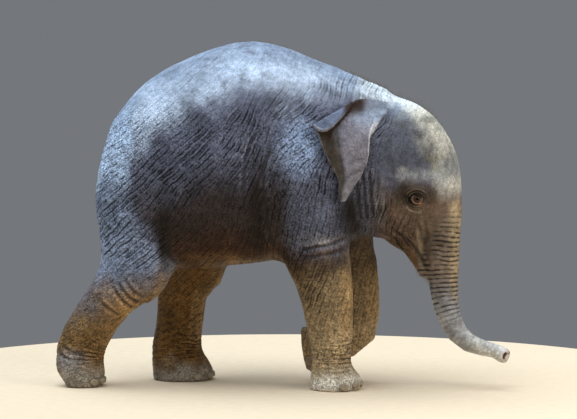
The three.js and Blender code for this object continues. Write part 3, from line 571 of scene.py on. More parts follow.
def skin_material(settings):
    """Elephant hide: tints and folds from the mesh, with fine wrinkles, rings and pores over them."""
    nodes = Nodes("elephant_hide")
    tint = nodes.attribute("tint").outputs["Color"]
    crease_shade = nodes.attribute("crease_shade").outputs["Fac"]
    lie = nodes.attribute("lie")
    slope, show, crossing = nodes.add("SeparateColor", {"Color": lie.outputs["Color"]}).outputs
    run, ring_share, level_share = nodes.add(
        "SeparateColor", {"Color": nodes.attribute("ringed").outputs["Color"]}
    ).outputs

    drift = nodes.noise(nodes.place(), 17.0, detail=2.0)
    broken = nodes.steps(nodes.noise(nodes.place(), 34.0, detail=2.0), (0.34, 0.25), (0.55, 1.0))

    def stripes(tilt, spacing):
        """Fine lines with a broader set under them, so that some show more than others."""
        across = nodes.add("SeparateXYZ", {0: nodes.place(rotation=(0, math.radians(tilt), 0))}).outputs["Z"]
        phase = nodes.math("MULTIPLY_ADD", drift, 0.024, across)
        fine = nodes.math("COSINE", nodes.math("MULTIPLY", phase, 2 * math.pi / spacing))
        broad = nodes.math("COSINE", nodes.math("MULTIPLY", phase, 2 * math.pi / (1.85 * spacing)))
        return nodes.math("MULTIPLY_ADD", fine, 0.60, nodes.math("MULTIPLY", broad, 0.60))

    def valleys(wave, strength):
        deep = nodes.math("POWER", nodes.math("MULTIPLY_ADD", wave, 0.5, 0.5, clamp=True), 1.5)
        return nodes.math("MULTIPLY", nodes.math("MULTIPLY", deep, strength), 1.45, clamp=True)

    wave = 0.0
    step = FAN[1] - FAN[0]
    for tilt in FAN:
        off = nodes.math("ABSOLUTE", nodes.math("MULTIPLY_ADD", slope, 100 / step, -tilt / step))
        weight = nodes.math("MULTIPLY_ADD", off, -2.6, 1.8, clamp=True)
        wave = nodes.math("MULTIPLY_ADD", stripes(tilt, settings.line_spacing), weight, wave)
    lines = valleys(wave, nodes.math("MULTIPLY", show, broken))
    crossed = valleys(stripes(CROSS, settings.line_spacing), nodes.math("MULTIPLY", crossing, broken))
    lines = nodes.math("MAXIMUM", lines, crossed)

    waver = nodes.noise(nodes.place(), 11.0, detail=2.5)
    run = nodes.math("MULTIPLY_ADD", waver, 0.026, run)
    ring = nodes.math("COSINE", nodes.math("MULTIPLY", run, 2 * math.pi / settings.ring_spacing))
    ring = nodes.math("POWER", nodes.math("MULTIPLY_ADD", ring, 0.5, 0.5), 1.7)
    ring = nodes.math("MULTIPLY", nodes.math("MULTIPLY", ring, broken), ring_share)
    level = nodes.creases(nodes.place(scale=(0.25, 0.25, 1.0)), 80.0, 0.12)
    lines = nodes.math("MULTIPLY_ADD", level, level_share, lines, clamp=True)
    lines = nodes.math("MAXIMUM", lines, ring)
    net = nodes.creases(nodes.place(rotation=(0.4, 0.3, 0.2)), 105.0, 0.10)
    netted = nodes.math("MULTIPLY", lie.outputs["Alpha"], 0.6)
    lines = nodes.math("MULTIPLY_ADD", net, netted, lines, clamp=True)

    cells = nodes.add("TexVoronoi", {"Vector": nodes.place(), "Scale": 230.0}, feature="F1")
    pores = cells.outputs["Distance"]
    height = nodes.math("MULTIPLY_ADD", lines, -1.0, nodes.math("MULTIPLY", pores, 0.15))
    nodes.bump(height, 1.0, settings.wrinkle)

    blotch = nodes.noise(nodes.place(), 9.0, detail=4.0, roughness=0.6)
    speck = nodes.noise(nodes.place(), 60.0, detail=3.0, roughness=0.6)
    base = nodes.mix(1.0, tint, nodes.steps(blotch, (0.3, 0.68), (0.7, 1.28)), "MULTIPLY")
    base = nodes.mix(1.0, base, nodes.steps(speck, (0.3, 0.73), (0.7, 1.26)), "MULTIPLY")
    # The fine lines darken their valleys with painted shade and some dirt, and lighten the ridges between
    # them with painted highlight.
    lit_ridge = nodes.mix(1.0, base, (1.50, 1.50, 1.50, 1.0), "MULTIPLY")
    shaded_valley = nodes.mix(1.0, base, (0.17, 0.155, 0.15, 1.0), "MULTIPLY")
    base = nodes.mix(lines, lit_ridge, shaded_valley)
    # Painted shade darkens the deep creases.
    base = nodes.mix(nodes.math("MULTIPLY", crease_shade, 0.75, clamp=True), base, (*settings.crease, 1.0))
    nodes.feed(nodes.shader.inputs["Base Color"], base)
    nodes.feed(nodes.shader.inputs["Roughness"], nodes.math("MULTIPLY_ADD", speck, 0.2, 0.50))
    nodes.shader.inputs["Specular IOR Level"].default_value = 0.16
    return nodes.material


# ------------------------------------------------------------------ skin
def ear_point(u, v):
    """A point of the left ear's leaf: u from its front edge to its rear, v from its tip to its top."""
    z, front, rear, stand_front, stand_rear, late, bow = curve_through(EAR_ROWS, v)
    stand = stand_front + (stand_rear - stand_front) * u**late + bow * math.sin(math.pi * u)
    stand += 2.5 * math.sin(9.0 * v + 2.0) * u**3
    lower = min(1.0, v / 0.2) * min(1.0, max(0.0, (0.62 - v) / 0.2))
    stand -= 20.0 * max(0.0, (u - 0.62) / 0.38) ** 1.6 * lower
    point = Vector((front + (rear - front) * u, stand, z))
    start = Vector((EAR_CREASE["rear"][0], 0, EAR_CREASE["rear"][1]))
    crease = Vector((EAR_CREASE["front"][0], 0, EAR_CREASE["front"][1])) - start
    crease.normalize()
    over = Vector((-crease.z, 0, crease.x))
    past = Vector((point.x - start.x, 0, point.z - start.z)).dot(over)
    if past > 0:
        radius, turn = EAR_CREASE["radius"], EAR_CREASE["turn"]
        bend = min(past / radius, turn)
        straight = past - bend * radius
        rise = radius * math.sin(bend) + straight * math.cos(bend)
        out = radius * (1 - math.cos(bend)) + straight * math.sin(bend)
        point += over * (rise - past) + Vector((0, out, 0))
    return point


class Ears:
    """Both ears' leaves, and where on a leaf any point lies."""

    def __init__(self, thickness):
        self.thickness = thickness / MM
        leaf = bmesh.new()
        bmesh.ops.create_grid(leaf, x_segments=36, y_segments=70, size=0.5)
        leaf.faces.ensure_lookup_table()
        self.places = np.array([face.calc_center_median()[:2] for face in leaf.faces]) + 0.5
        for vertex in leaf.verts:
            x, y, z = ear_point(vertex.co.x + 0.5, vertex.co.y + 0.5)
            vertex.co = (x, y, z)
        self.tree = BVHTree.FromBMesh(leaf)
        leaf.free()

    def solid(self):
        """One closed leaf on each side, in metres."""
        both = bmesh.new()
        for hand in (-1, 1):
            leaf = bmesh.new()
            bmesh.ops.create_grid(leaf, x_segments=48, y_segments=90, size=0.5)
            for vertex in leaf.verts:
                x, y, z = ear_point(vertex.co.x + 0.5, vertex.co.y + 0.5)
                vertex.co = (x, y, z)
            leaf.normal_update()
            shift = {vertex: vertex.normal * self.thickness / 2 for vertex in leaf.verts}
            made = bmesh.ops.extrude_face_region(leaf, geom=leaf.faces[:], use_keep_orig=True)["geom"]
            for vertex in [new for new in made if isinstance(new, bmesh.types.BMVert)]:
                vertex.co -= vertex.normal * self.thickness / 2
            for vertex, way in shift.items():
                vertex.co += way
            for vertex in leaf.verts:
                vertex.co = placed(vertex.co.x, hand * vertex.co.y, vertex.co.z)
            bmesh.ops.recalc_face_normals(leaf, faces=leaf.faces)
            part = bpy.data.meshes.new("leaf")
            leaf.to_mesh(part)
            leaf.free()
            both.from_mesh(part)
            bpy.data.meshes.remove(part)
        return both

    def read(self, points):
        """Each drawn point's share of an ear, its u and v, and how deep it lies in the turned flap's painted
        shadow.
        """
        share, under = np.zeros(len(points)), np.zeros(len(points))
        uv = np.full((len(points), 2), 0.5)
        x, y, z = points.T
        box = (x > 155) & (x < 425) & (z > 600) & (z < 985) & (np.abs(y) > 92)
        reach = self.thickness * 1.6
        for index in np.flatnonzero(box):
            place, _, face, gap = self.tree.find_nearest((x[index], abs(y[index]), z[index]), reach)
            if place is not None:
                share[index] = 1 - smooth_step(gap, self.thickness * 0.85, reach)
                uv[index] = self.places[face]
                start = (x[index], abs(y[index]) + self.thickness, z[index])
                gap = self.tree.ray_cast(start, EAR_SHADE, 75)[3]
                if gap is not None:
                    under[index] = 1 - smooth_step(gap, 22, 62)
        return share, uv[:, 0], uv[:, 1], under


def smoothing_weight(points):
    """How strongly each place is evened out: less on thin forms, so that they keep their size."""
    x, _, z = points.T
    weight = np.ones(len(points))
    gone, off = along_line(points, TRUNK_LINE, 1.5)
    on_trunk = (off < 1.5) & (gone > 150)
    weight[on_trunk] = 0.55 - 0.30 * smooth_step(gone[on_trunk], 300, 700)
    _, off = along_line(points, TAIL_LINE, 2.5)
    weight[(off < 2.2) & (x < -496)] = 0.06
    weight[(z < 380) & (off >= 2.2) & ~on_trunk] = 0.6
    weight[(z < 60) & ~on_trunk] = 0.35
    weight[(x > 415) & (z < 520) & ~on_trunk] = 0.5
    return weight


def bare_skin(settings, ears):
    """The evened flesh with its ears, as one closed skin."""
    flesh = joined_solids(FLESH, 0.0012)
    mesh = bpy.data.meshes.new("flesh")
    flesh.to_mesh(mesh)
    flesh.free()
    mesh = with_modifier(mesh, "REMESH", mode="VOXEL", voxel_size=settings.body_cell, adaptivity=0.0)
    even_out(mesh, 70, smoothing_weight(drawn(read_points(mesh))))
    write_points(mesh, read_points(mesh) - read_normals(mesh) * 0.0009)
    whole = ears.solid()
    whole.from_mesh(mesh)
    joined = bpy.data.meshes.new("skin")
    whole.to_mesh(joined)
    whole.free()
    skin = with_modifier(joined, "REMESH", mode="VOXEL", voxel_size=settings.cell, adaptivity=0.0)
    even_out(skin, 4, 0.7, 0.5, 0.5)
    return skin


def limb_runs(points):
    """For each point: the distance gone along trunk or leg, and the weights of trunk, leg and wrist."""
    gone, off = along_line(points, TRUNK_LINE)
    trunk = smooth_step(1.7 - off, 0.0, 0.3) * smooth_step(gone, 80, 200) * (1 - smooth_step(gone, 715, 740))
    run, leg_share, wrist = gone.copy(), np.zeros(len(points)), np.zeros(len(points))
    for line in LEG_LINES.values():
        gone, off = along_line(points, line)
        total = sum(math.dist(a[:3], b[:3]) for a, b in zip(line, line[1:]))
        on = smooth_step(1.75 - off, 0.0, 0.35) * smooth_step(gone, 90, 230)
        on *= 1 - smooth_step(gone, total - 70, total - 35)
        on *= (1 - trunk) * (np.sign(points[:, 1]) == np.sign(line[0][1]))
        slope = 0.35 * smooth_step(total - gone, 200, 420)
        here = on > leg_share
        run[here] = (gone + slope * (points[:, 0] - line[2][0]))[here]
        wrist[here] = np.exp(-(((total - gone[here]) - 115) / 65) ** 2)
        leg_share = np.maximum(leg_share, on)
    return run, trunk, leg_share, wrist


def ring_start(points):
    """How far the trunk's rings have begun: at its front edge first, then across its whole width."""
    x, _, z = points.T
    begins = np.interp(z, *zip(*RING_START))
    return smooth_step(x, begins, begins + 38)


def crease_depth(points, normals):
    """Depth of the deep creases, in millimetres, and how much painted shade they put in a place and painted
    highlight next to them, 0 to 1.
    """
    x, y, z = points.T
    depth, dark, light = np.zeros(len(points)), np.zeros(len(points)), np.zeros(len(points))
    facing = smooth_step(np.abs(normals[:, 1]), 0.05, 0.45)
    for hand, deep, width, line in CREASES:
        line = curve_through([(*place,) for place in line], np.linspace(0, 1, 6 * len(line)))
        reach = width * 3
        near = (x > line[:, 0].min() - reach) & (x < line[:, 0].max() + reach)
        near &= (z > line[:, 1].min() - reach) & (z < line[:, 1].max() + reach)
        if hand:
            near &= y * hand > 0
        picked = np.flatnonzero(near)
        place = np.column_stack((x[picked], z[picked]))
        start, end = line[:-1], line[1:]
        step = end - start
        share = np.einsum("nmk,mk->nm", place[:, None] - start[None], step)
        share /= np.einsum("mk,mk->m", step, step)
        nearest = start[None] + np.clip(share, 0, 1)[..., None] * step[None]
        gap = np.linalg.norm(place[:, None] - nearest, axis=2)
        k = np.argmin(gap, axis=1)
        gone = (k + np.clip(share[np.arange(len(k)), k], 0, 1)) / len(step)
        taper = smooth_step(gone, 0.0, 0.22) * smooth_step(1 - gone, 0.0, 0.22)
        groove = np.exp(-((gap.min(axis=1) / width) ** 2)) * taper * facing[picked]
        depth[picked] = np.maximum(depth[picked], deep * groove)
        # Painted shade in each crease, and a painted highlight on the lip next to it.
        narrow = np.exp(-((gap.min(axis=1) / min(width, 6.5)) ** 2)) * taper * facing[picked]
        dark[picked] = np.maximum(dark[picked], min(1.0, deep / 3.0) * narrow)
        lip_highlight = np.exp(-(((gap.min(axis=1) - 11.0) / 4.5) ** 2)) * taper * facing[picked]
        light[picked] = np.maximum(light[picked], min(1.0, deep / 3.5) * lip_highlight)
    return depth, dark, light


def wrinkle_lie(points, not_body):
    """The fine wrinkles' slope in degrees, and how strongly they, crossing ones and the net show."""
    x, _, z = points.T
    slope = np.interp(x, *zip(*FLANK_SLOPES))
    for at_x, at_z, reach_x, reach_z, tilt in SLOPE_SPOTS:
        share = soft_spot(x, z, at_x, at_z, reach_x, reach_z)
        slope += (tilt - slope) * share
    show, crossing = np.zeros(len(points)), np.zeros(len(points))
    for at_x, at_z, reach_x, reach_z, strong, crossed in WRINKLE_SPOTS:
        share = soft_spot(x, z, at_x, at_z, reach_x, reach_z)
        show = np.maximum(show, share * strong)
        crossing = np.maximum(crossing, share * crossed)
    head = smooth_step(x, 370, 415)
    show = np.maximum(show, (0.45 - 0.30 * smooth_step(z, 880, 960)) * (1 - 0.75 * head))
    show *= (0.85 + 0.35 * mottle(points, 60, 100)) * (1 - not_body) * (0.25 + 0.75 * smooth_step(z, 70, 150))
    crossing *= (0.75 + 0.5 * mottle(points, 50, 101)) * (1 - not_body)
    slope += 4 * mottle(points, 90, 102)
    netted = (1 - 0.65 * smooth_step(z, 860, 960)) * (1 - 0.45 * head) * (1 - 0.5 * not_body)
    return slope, np.clip(show, 0, 1), np.clip(crossing, 0, 1), netted


def fold_height(points, normals, settings, ears):
    """Height of the larger folds, in millimetres."""
    height = np.zeros(len(points))
    ear, u, v, _ = ears.read(points)
    run, trunk, legs, wrist = limb_runs(points)
    waver = 4.0 * mottle(points, 60, 3) + 2.0 * mottle(points, 22, 4)
    broken = np.clip(0.6 + 0.6 * mottle(points, (60, 40, 20), 5), 0.1, 1.0)
    ring = rings(run + waver, settings.ring_spacing / MM)
    front = np.exp(-(((run - 300) / 190) ** 2))
    height -= settings.trunk_fold / MM * ring * broken * trunk * (0.3 + 0.7 * front) * ring_start(points)
    height -= settings.leg_fold / MM * ring * broken * legs * (0.35 + 0.65 * wrist)
    body = (1 - ear) * (1 - trunk) * (1 - legs)
    slope, show, _, _ = wrinkle_lie(points, np.maximum.reduce((ear, trunk, legs)))
    for number, tilt in enumerate(FAN[::2]):
        share = np.clip(1 - np.abs(slope - tilt) / 24, 0, 1) * show
        height -= settings.flank_fold / MM * wrinkles(points, 23.0, 120.0, tilt, 50 + number, 0.25) * share
    height += body * (1.5 * mottle(points, 80, 70) + 0.8 * mottle(points, 34, 71))
    veins = np.exp(-((mottle(points, 34, 73) / 0.14) ** 2))
    edge = np.minimum.reduce((u, 1 - u, v))
    height += ear * (0.8 * veins + 2.0 * (1 - smooth_step(edge, 0.0, 0.045)) + 1.0 * mottle(points, 45, 72))
    height -= ear * ear_lines(u, v) * 3.0
    depth, _, _ = crease_depth(points, normals)
    return height - depth * (1 - ear)


def ear_lines(u, v):
    """The ear's own creases: one down its rear third, and two short ones across its lower tip."""
    down = np.exp(-(((u - 0.66 - 0.35 * (0.35 - v)) / 0.030) ** 2)) * smooth_step(v, 0.10, 0.18)
    down *= 1 - smooth_step(v, 0.50, 0.60)
    across = np.exp(-(((v - 0.235 + 0.10 * u) / 0.013) ** 2)) * (1 - smooth_step(u, 0.45, 0.75))
    upper = np.exp(-(((v - 0.30 + 0.04 * u) / 0.010) ** 2)) * (1 - smooth_step(u, 0.30, 0.55)) * 0.6
    return np.maximum.reduce((down * 0.7, across, upper))


def skin_tint(points, normals, settings, ears_read, trunk):
    """The hide's colour: pale back, grey flank, brown face and belly, dusty legs, pinkish ears, with painted
    shade and painted light.
    """
    x, y, z = points.T
    up = normals[:, 2]
    broad, patchy, fine = mottle(points, 130, 80), mottle(points, 45, 81), mottle(points, 14, 82)
    hide, back, brown, dust = map(np.array, (settings.hide, settings.back, settings.underside, settings.dust))
    tint = np.tile(hide, (len(points), 1))

    def lay(share, tone):
        nonlocal tint
        share = np.clip(share, 0, 1)[:, None]
        tint = tint * (1 - share) + np.array(tone) * share

    off_head = 1 - smooth_step(x, 400, 430)
    haunch_edge = -425 + 0.63 * np.clip(634 - z, 0, 240)
    flank = smooth_step(x - haunch_edge + 18 * patchy, -15, 55) * off_head
    fore = smooth_step(x, 75, 135) * smooth_step(z, 380, 470)
    # Darker brown towards the bottom of the flank: the hide's own brown with painted shade.
    low = smooth_step(800 - z + 45 * broad + 0.18 * x, 0, 200) * flank * (1 - 0.80 * fore)
    lay(low * 0.92, brown * np.array((0.34, 0.28, 0.24)))
    # Painted shade on the belly's downturned faces.
    belly = smooth_step(560 - z + 50 * broad, 0, 130) * smooth_step(-up, -0.35, 0.5) * flank
    lay(belly * 0.9, brown * np.array((0.70, 0.37, 0.12)))
    # Pale back: pale hide with a painted bluish skylight.
    line = np.interp(x, *zip(*PALE_LINE))
    pale = smooth_step(z - line + 45 * patchy + 40 * broad, -50, 75) * off_head
    lay(pale * 0.95, back)
    # Painted bluish skylight on the rear edge of the thigh.
    skylit_haunch = (1 - smooth_step(x - haunch_edge + 25 * patchy, -45, 20)) * smooth_step(z, 250, 460) * (x < 0)
    lay(skylit_haunch * 0.60, back * np.array((0.62, 0.66, 0.76)))
    # Painted bluish skylight on the top of the hindquarters.
    skylit_rump = (1 - smooth_step(x + 22 * patchy, -430, -390)) * smooth_step(z + 25 * patchy, 610, 720)
    lay(skylit_rump * 0.85, back * np.array((0.84, 0.90, 0.97)))
    # Painted shade: the back's upturned faces are darker, which tones down the light from above.
    top = smooth_step(up + 0.15 * broad, 0.30, 0.85) * smooth_step(z, 700, 850)
    lay(top * 0.9, back * np.array((0.37, 0.395, 0.44)))
    # Painted light: a paler, bluer patch on the shoulder.
    lit_blade = soft_spot(x, z, 148, 800, 66, 90) * (1 - smooth_step(x, 200, 260))
    lay(lit_blade * 0.80, back * np.array((0.78, 0.87, 1.04)))
    temple = smooth_step(x, 360, 420) * (1 - smooth_step(z, 880, 960)) * smooth_step(z, 690, 760)
    lay(temple * 0.78, np.array((0.076, 0.079, 0.092)))
    face = smooth_step(x, 330, 430) * smooth_step(745 - z + 30 * patchy, 0, 150)
    lay(face * 0.9, brown * np.array((1.30, 1.12, 0.93)))
    brow = np.exp(-(((z - 706 - 0.10 * (x - 500)) / 18) ** 2)) * smooth_step(x, 440, 475)
    brow *= 1 - smooth_step(x, 570, 600)
    lay(brow * 0.75, np.array((0.360, 0.375, 0.385)))
    # Pale forehead, with painted warm light on its front.
    dome = smooth_step(x + 0.75 * (z - 860) + 45 * patchy, 470, 590) * smooth_step(z + 20 * patchy, 712, 775)
    lay(dome * 0.88, np.array((0.61, 0.59, 0.50)))
    # Pale crown, with a painted bluish skylight.
    crown = smooth_step(z + 25 * patchy - 0.10 * (x - 400), 900, 955) * smooth_step(x, 300, 360)
    lay(crown * 0.85, np.array((0.60, 0.67, 0.72)))
    olive = smooth_step(patchy + 0.6 * fine, 0.12, 0.45) * smooth_step(x, 530, 575) * smooth_step(z, 700, 745)
    lay(olive * (1 - smooth_step(z, 765, 800)) * 0.8, np.array((0.150, 0.130, 0.075)))
    mark = smooth_step(mottle(points, 19, 91) + 0.3 * fine, 0.42, 0.65) * smooth_step(x, 470, 520)
    lay(mark * smooth_step(z, 770, 800) * (1 - smooth_step(z, 900, 960)) * 0.6, hide * 0.9)
    # Pale bridge of the trunk, with painted light.
    bridge = smooth_step(x, 555, 600) * smooth_step(z, 600, 680) * (1 - smooth_step(z, 735, 790))
    lay(bridge * 0.65, back * np.array((0.82, 0.70, 0.52)))
    hind = 1 - smooth_step(x, -100, 50)
    begins = 495 * (1 - hind) + (420 + np.clip(0.3 * (x + 430), -50, 50)) * hind
    legs = smooth_step(begins - z + 34 * patchy + 26 * broad + 14 * fine, 0, 220) * off_head
    lay(legs * 0.92, dust * np.array((0.74, 0.72, 0.64)))
    lay(legs * hind * 0.8, dust * np.array((0.60, 0.42, 0.17)))
    # Painted shade on the inner sides of the legs, which face the body.
    inner_side_shade = smooth_step(-normals[:, 1] * np.sign(y), 0.0, 0.5) * off_head * smooth_step(600 - z, 0, 110)
    lay(inner_side_shade * (1 - hind) * 0.75, dust * np.array((0.46, 0.41, 0.34)))
    lay(inner_side_shade * hind * 0.80, dust * np.array((0.37, 0.25, 0.11)))
    # Painted warm light on the front faces of the legs.
    lit_fronts = legs * smooth_step(normals[:, 0], 0.30, 0.85) * smooth_step(z, 90, 170)
    lay(lit_fronts * 0.65, dust * np.array((1.12, 0.96, 0.70)))
    ankles = legs * (1 - hind) * smooth_step(240 - z, 0, 90) * (normals[:, 1] * y > 0)
    lay(ankles * 0.7, dust * np.array((1.30, 1.30, 1.22)))
    feet = smooth_step(92 - z + 24 * patchy, 0, 70) * off_head
    lay(feet * 0.85, np.array((0.260, 0.240, 0.200)))
    lay(feet * (1 - hind) * 0.85, np.array((0.660, 0.610, 0.520)))
    lifted = (y > 0) * smooth_step(x, 60, 90) * smooth_step(260 - z, 0, 90) * off_head
    lay(lifted * 0.80, dust * np.array((1.14, 1.10, 0.96)))
    lay(trunk * 0.85, np.array((0.185, 0.142, 0.106)))
    lower = trunk * smooth_step(395 - z, 0, 130)
    lay(lower * 0.8, np.array((0.330, 0.335, 0.350)))
    # Painted warm light on the front faces of the trunk.
    painted_warm_light = trunk * smooth_step(normals[:, 0], 0.25, 0.85) * smooth_step(z, 250, 330)
    lay(painted_warm_light * 0.65, np.array((0.38, 0.29, 0.165)))
    tip = smooth_step(x, 640, 720) * (1 - smooth_step(z, 240, 300))
    lay(tip * 0.85, np.array((0.44, 0.43, 0.40)))
    chin = smooth_step(x, 400, 440) * (1 - smooth_step(z, 400, 560)) * (1 - trunk)
    chin *= smooth_step(600 - x, 0, 40)
    lay(chin * 0.60, np.array((0.130, 0.070, 0.022)))
    for at_x, at_z, reach_x, reach_z, strength, tone in MARKS:
        share = soft_spot(x, z, at_x, at_z, reach_x, reach_z)
        share *= 1.0 + 0.5 * patchy
        lay(share * strength, MARK_TONES[tone])
    ear, u, v, under = ears_read
    lay(ear, settings.ear)
    crease, start = Vector(EAR_CREASE["front"]) - Vector(EAR_CREASE["rear"]), EAR_CREASE["rear"]
    crease.normalize()
    rows = 60
    leaf = np.array([curve_through(EAR_ROWS, place)[:3] for place in np.linspace(0, 1, rows)])
    row = np.clip(v * (rows - 1), 0, rows - 1).astype(int)
    flat_x = leaf[row, 1] + (leaf[row, 2] - leaf[row, 1]) * u
    past = (leaf[row, 0] - start[1]) * crease.x - (flat_x - start[0]) * crease.y
    turned = smooth_step(past, 6, 16)
    shade = smooth_step(u, 0.55, 0.74) * (1 - turned)
    lay(ear * shade * 0.9, brown * np.array((0.80, 0.88, 0.90)))
    # Painted shadow of the turned flap on the leaf below it.
    lay(ear * under * (1 - turned) * 0.92, brown * np.array((0.50, 0.42, 0.38)))
    lay(ear * turned * 0.9, hide * np.array((0.74, 0.84, 0.92)))
    # Painted bluish skylight on the upper front of the ear.
    upper = smooth_step(v, 0.45, 0.6) * (1 - smooth_step(u, 0.25, 0.5)) * (1 - turned)
    lay(ear * upper * 0.6, back * np.array((0.54, 0.57, 0.60)))
    # Painted highlight along the ear's rims.
    merged = smooth_step(v, 0.50, 0.62) * (1 - smooth_step(v, 0.78, 0.84))
    edge = np.minimum.reduce((u + 0.08 * merged, 1 - u, v * 2.0, (1 - v) * 1.5 + 0.01))
    rim = 1 - smooth_step(edge, 0.012, 0.040)
    lay(ear * rim * 0.60, np.array((0.30, 0.29, 0.30)))
    # Brighter painted highlight along the lower front rim of the ear.
    lit_front_rim = ear * rim * (u < 0.3) * smooth_step(v, 0.25, 0.35) * (1 - smooth_step(v, 0.55, 0.65))
    lay(lit_front_rim * 0.7, np.array((0.62, 0.62, 0.64)))
    # Painted shade in the ear's hollow under its top edge.
    cup_shadow = smooth_step(x, 278, 292) * (1 - smooth_step(x, 335, 372)) * smooth_step(z, 890, 925)
    lay(ear * cup_shadow * smooth_step(-normals[:, 1], -0.6, 0.1) * 0.92, (0.026, 0.012, 0.006))
    spots = smooth_step(mottle(points, 24, 90) + 0.3 * fine, 0.50, 0.68)
    spots *= smooth_step(z, 900, 950) * (1 - smooth_step(x, 20, 90)) * smooth_step(x, -260, -170)
    lay(spots * 0.6, hide * 0.8)
    patch = np.exp(-(((x + 190) / 42) ** 2) - ((z - 905) / 30) ** 2)
    lay(patch * 0.7, hide * 0.8)
    pit = np.exp(-(((x - 530) / 7) ** 2) - ((z - 830) / 6) ** 2)
    lay(pit * (np.abs(y) > 40) * 0.85, brown * 0.5)
    tint *= (1.0 + 0.10 * broad + 0.12 * patchy + 0.10 * fine)[:, None]
    return np.clip(tint, 0.004, 0.9)


def give_attribute(mesh, name, kind, values):
    attribute = mesh.attributes.new(name, kind, "POINT")
    field = "value" if kind == "FLOAT" else "color"
    attribute.data.foreach_set(field, np.ascontiguousarray(values, dtype=np.float32).ravel())


class Eye:
    """An eye's place and axes: ahead out of the head, front towards the trunk, and up."""

    def __init__(self, hand):
        low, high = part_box("eye_right" if hand < 0 else "eye_left")
        self.centre = (low + high) / 2
        self.radius = (high.x - low.x) / 2
        self.ahead = Vector((EYE_AHEAD.x, EYE_AHEAD.y * -hand, EYE_AHEAD.z)).normalized()
        self.front = (Vector((1, 0, 0)) - self.ahead * self.ahead.x).normalized()
        self.up = self.front.cross(self.ahead)
        if self.up.z < 0:
            self.up.negate()

    def local(self, points):
        """Points of the frame, in metres, as (front, up, ahead) from the eye's centre, in millimetres."""
        axes = np.array((self.front, self.up, self.ahead))
        return (points - np.array(self.centre)) @ axes.T / MM


def refined(mesh, places):
    """The mesh cut finer near some places: each has a centre, a reach in metres and a number of cuts."""
    work = bmesh.new()
    work.from_mesh(mesh)
    for centre, reach, cuts in places:
        for _ in range(cuts):
            faces = [f for f in work.faces if (f.calc_center_median() - centre).length < reach]
            edges = list({edge for face in faces for edge in face.edges})
            bmesh.ops.subdivide_edges(work, edges=edges, cuts=1, smooth=0.6, use_grid_fill=True)
            bmesh.ops.triangulate(work, faces=[f for f in work.faces if len(f.verts) > 3])
            reach *= 0.8
    work.to_mesh(mesh)
    work.free()
    mesh.update()


def shape_lids(points, dark, tint, eye):
    """Eyelids, socket and the folds round one eye. Points are in metres."""
    a, b, c = eye.local(points).T
    near = (np.abs(a) < 85) & (np.abs(b) < 80) & (c > -35) & (c < 60)
    a, b, c = a[near], b[near], c[near]
    tilt = math.radians(-14)
    p, q = a * math.cos(tilt) + b * math.sin(tilt), -a * math.sin(tilt) + b * math.cos(tilt)
    rim = np.hypot(p / LIDS["across"], q / np.where(q > 0, LIDS["above"], LIDS["below"]))
    r = np.hypot(a, b)
    lid = np.sqrt(np.maximum(LIDS["round"] ** 2 - r**2, 0.0)) + 1.4 * np.exp(-(((rim - 1.14) / 0.12) ** 2))
    share = smooth_step(36.0 - r, 0.0, 15.0)
    target = c * (1 - share) + np.maximum(lid, c - 8) * share
    hole = smooth_step(1.05 - rim, 0.0, 0.09)
    target = target * (1 - hole) - 6.0 * hole
    grooves, ridges = np.zeros(len(a)), np.zeros(len(a))
    for side, at, wide, deep, reach, shift in LID_FOLDS:
        arc = smooth_step(side * q, 0, reach) * (1 - 0.6 * smooth_step(p * side, 14, 34))
        arc *= 0.65 + 0.5 * mottle(points[near] / MM, 16, 110 + int(10 * at))
        out = np.hypot((p - shift) / 15.0, (q + 0.6 * shift) / 12.5)
        grooves = np.maximum(grooves, deep * np.exp(-(((out - at) / wide) ** 2)) * arc)
        ridges = np.maximum(ridges, np.exp(-(((out - at - 0.33) / 0.17) ** 2)) * arc)
    rear = np.exp(-(((p + 30) / 11) ** 2) - ((q + 2) / 13) ** 2)
    hollow = np.exp(-(((np.hypot(p + 6, q) - 36) / 15) ** 2))
    target += (ridges * 0.8 - grooves) * (1 - hole) - 4.0 * hollow - 2.5 * rear
    points[near] += (target - c)[:, None] * np.array(eye.ahead)[None] * MM
    # Painted shade in the grooves of the lid folds; the creases' shade fades out round the eye.
    dark[near] = np.maximum(dark[near] * smooth_step(r, 24, 44), np.clip(grooves / 3.2, 0, 0.9))

    def lay(share, tone):
        share = np.clip(share, 0, 1)[:, None]
        tint[near] = tint[near] * (1 - share) + np.array(tone) * share

    lay(np.exp(-((np.hypot((p + 18) / 56.0, (q + 1) / 44.0)) ** 4)) * 0.88, (0.036, 0.024, 0.015))
    lay(np.exp(-((np.hypot((p + 12) / 38.0, (q + 1) / 29.0)) ** 4)) * 0.92, (0.012, 0.008, 0.005))
    lay(rear * 0.6, (0.010, 0.006, 0.004))
    lay(ridges * 0.50, (0.24, 0.18, 0.13))
    bag = np.exp(-(((np.hypot(p - 5, q) - 42) / 2.8) ** 2)) * smooth_step(-q, 24, 36)
    arch = np.exp(-(((np.hypot(p + 4, q) - 34) / 2.5) ** 2)) * smooth_step(q, 20, 31)
    lay(bag * 0.60, (0.34, 0.28, 0.21))
    lay(arch * 0.45, (0.26, 0.22, 0.18))
    lay(np.exp(-(((rim - 1.13) / 0.11) ** 2)) * (1 - smooth_step(q, 4, 11)) * 0.95, (0.36, 0.24, 0.185))
    lay(np.exp(-(((p - 16) / 7) ** 2) - ((q + 11) / 5.5) ** 2), (0.36, 0.15, 0.06))


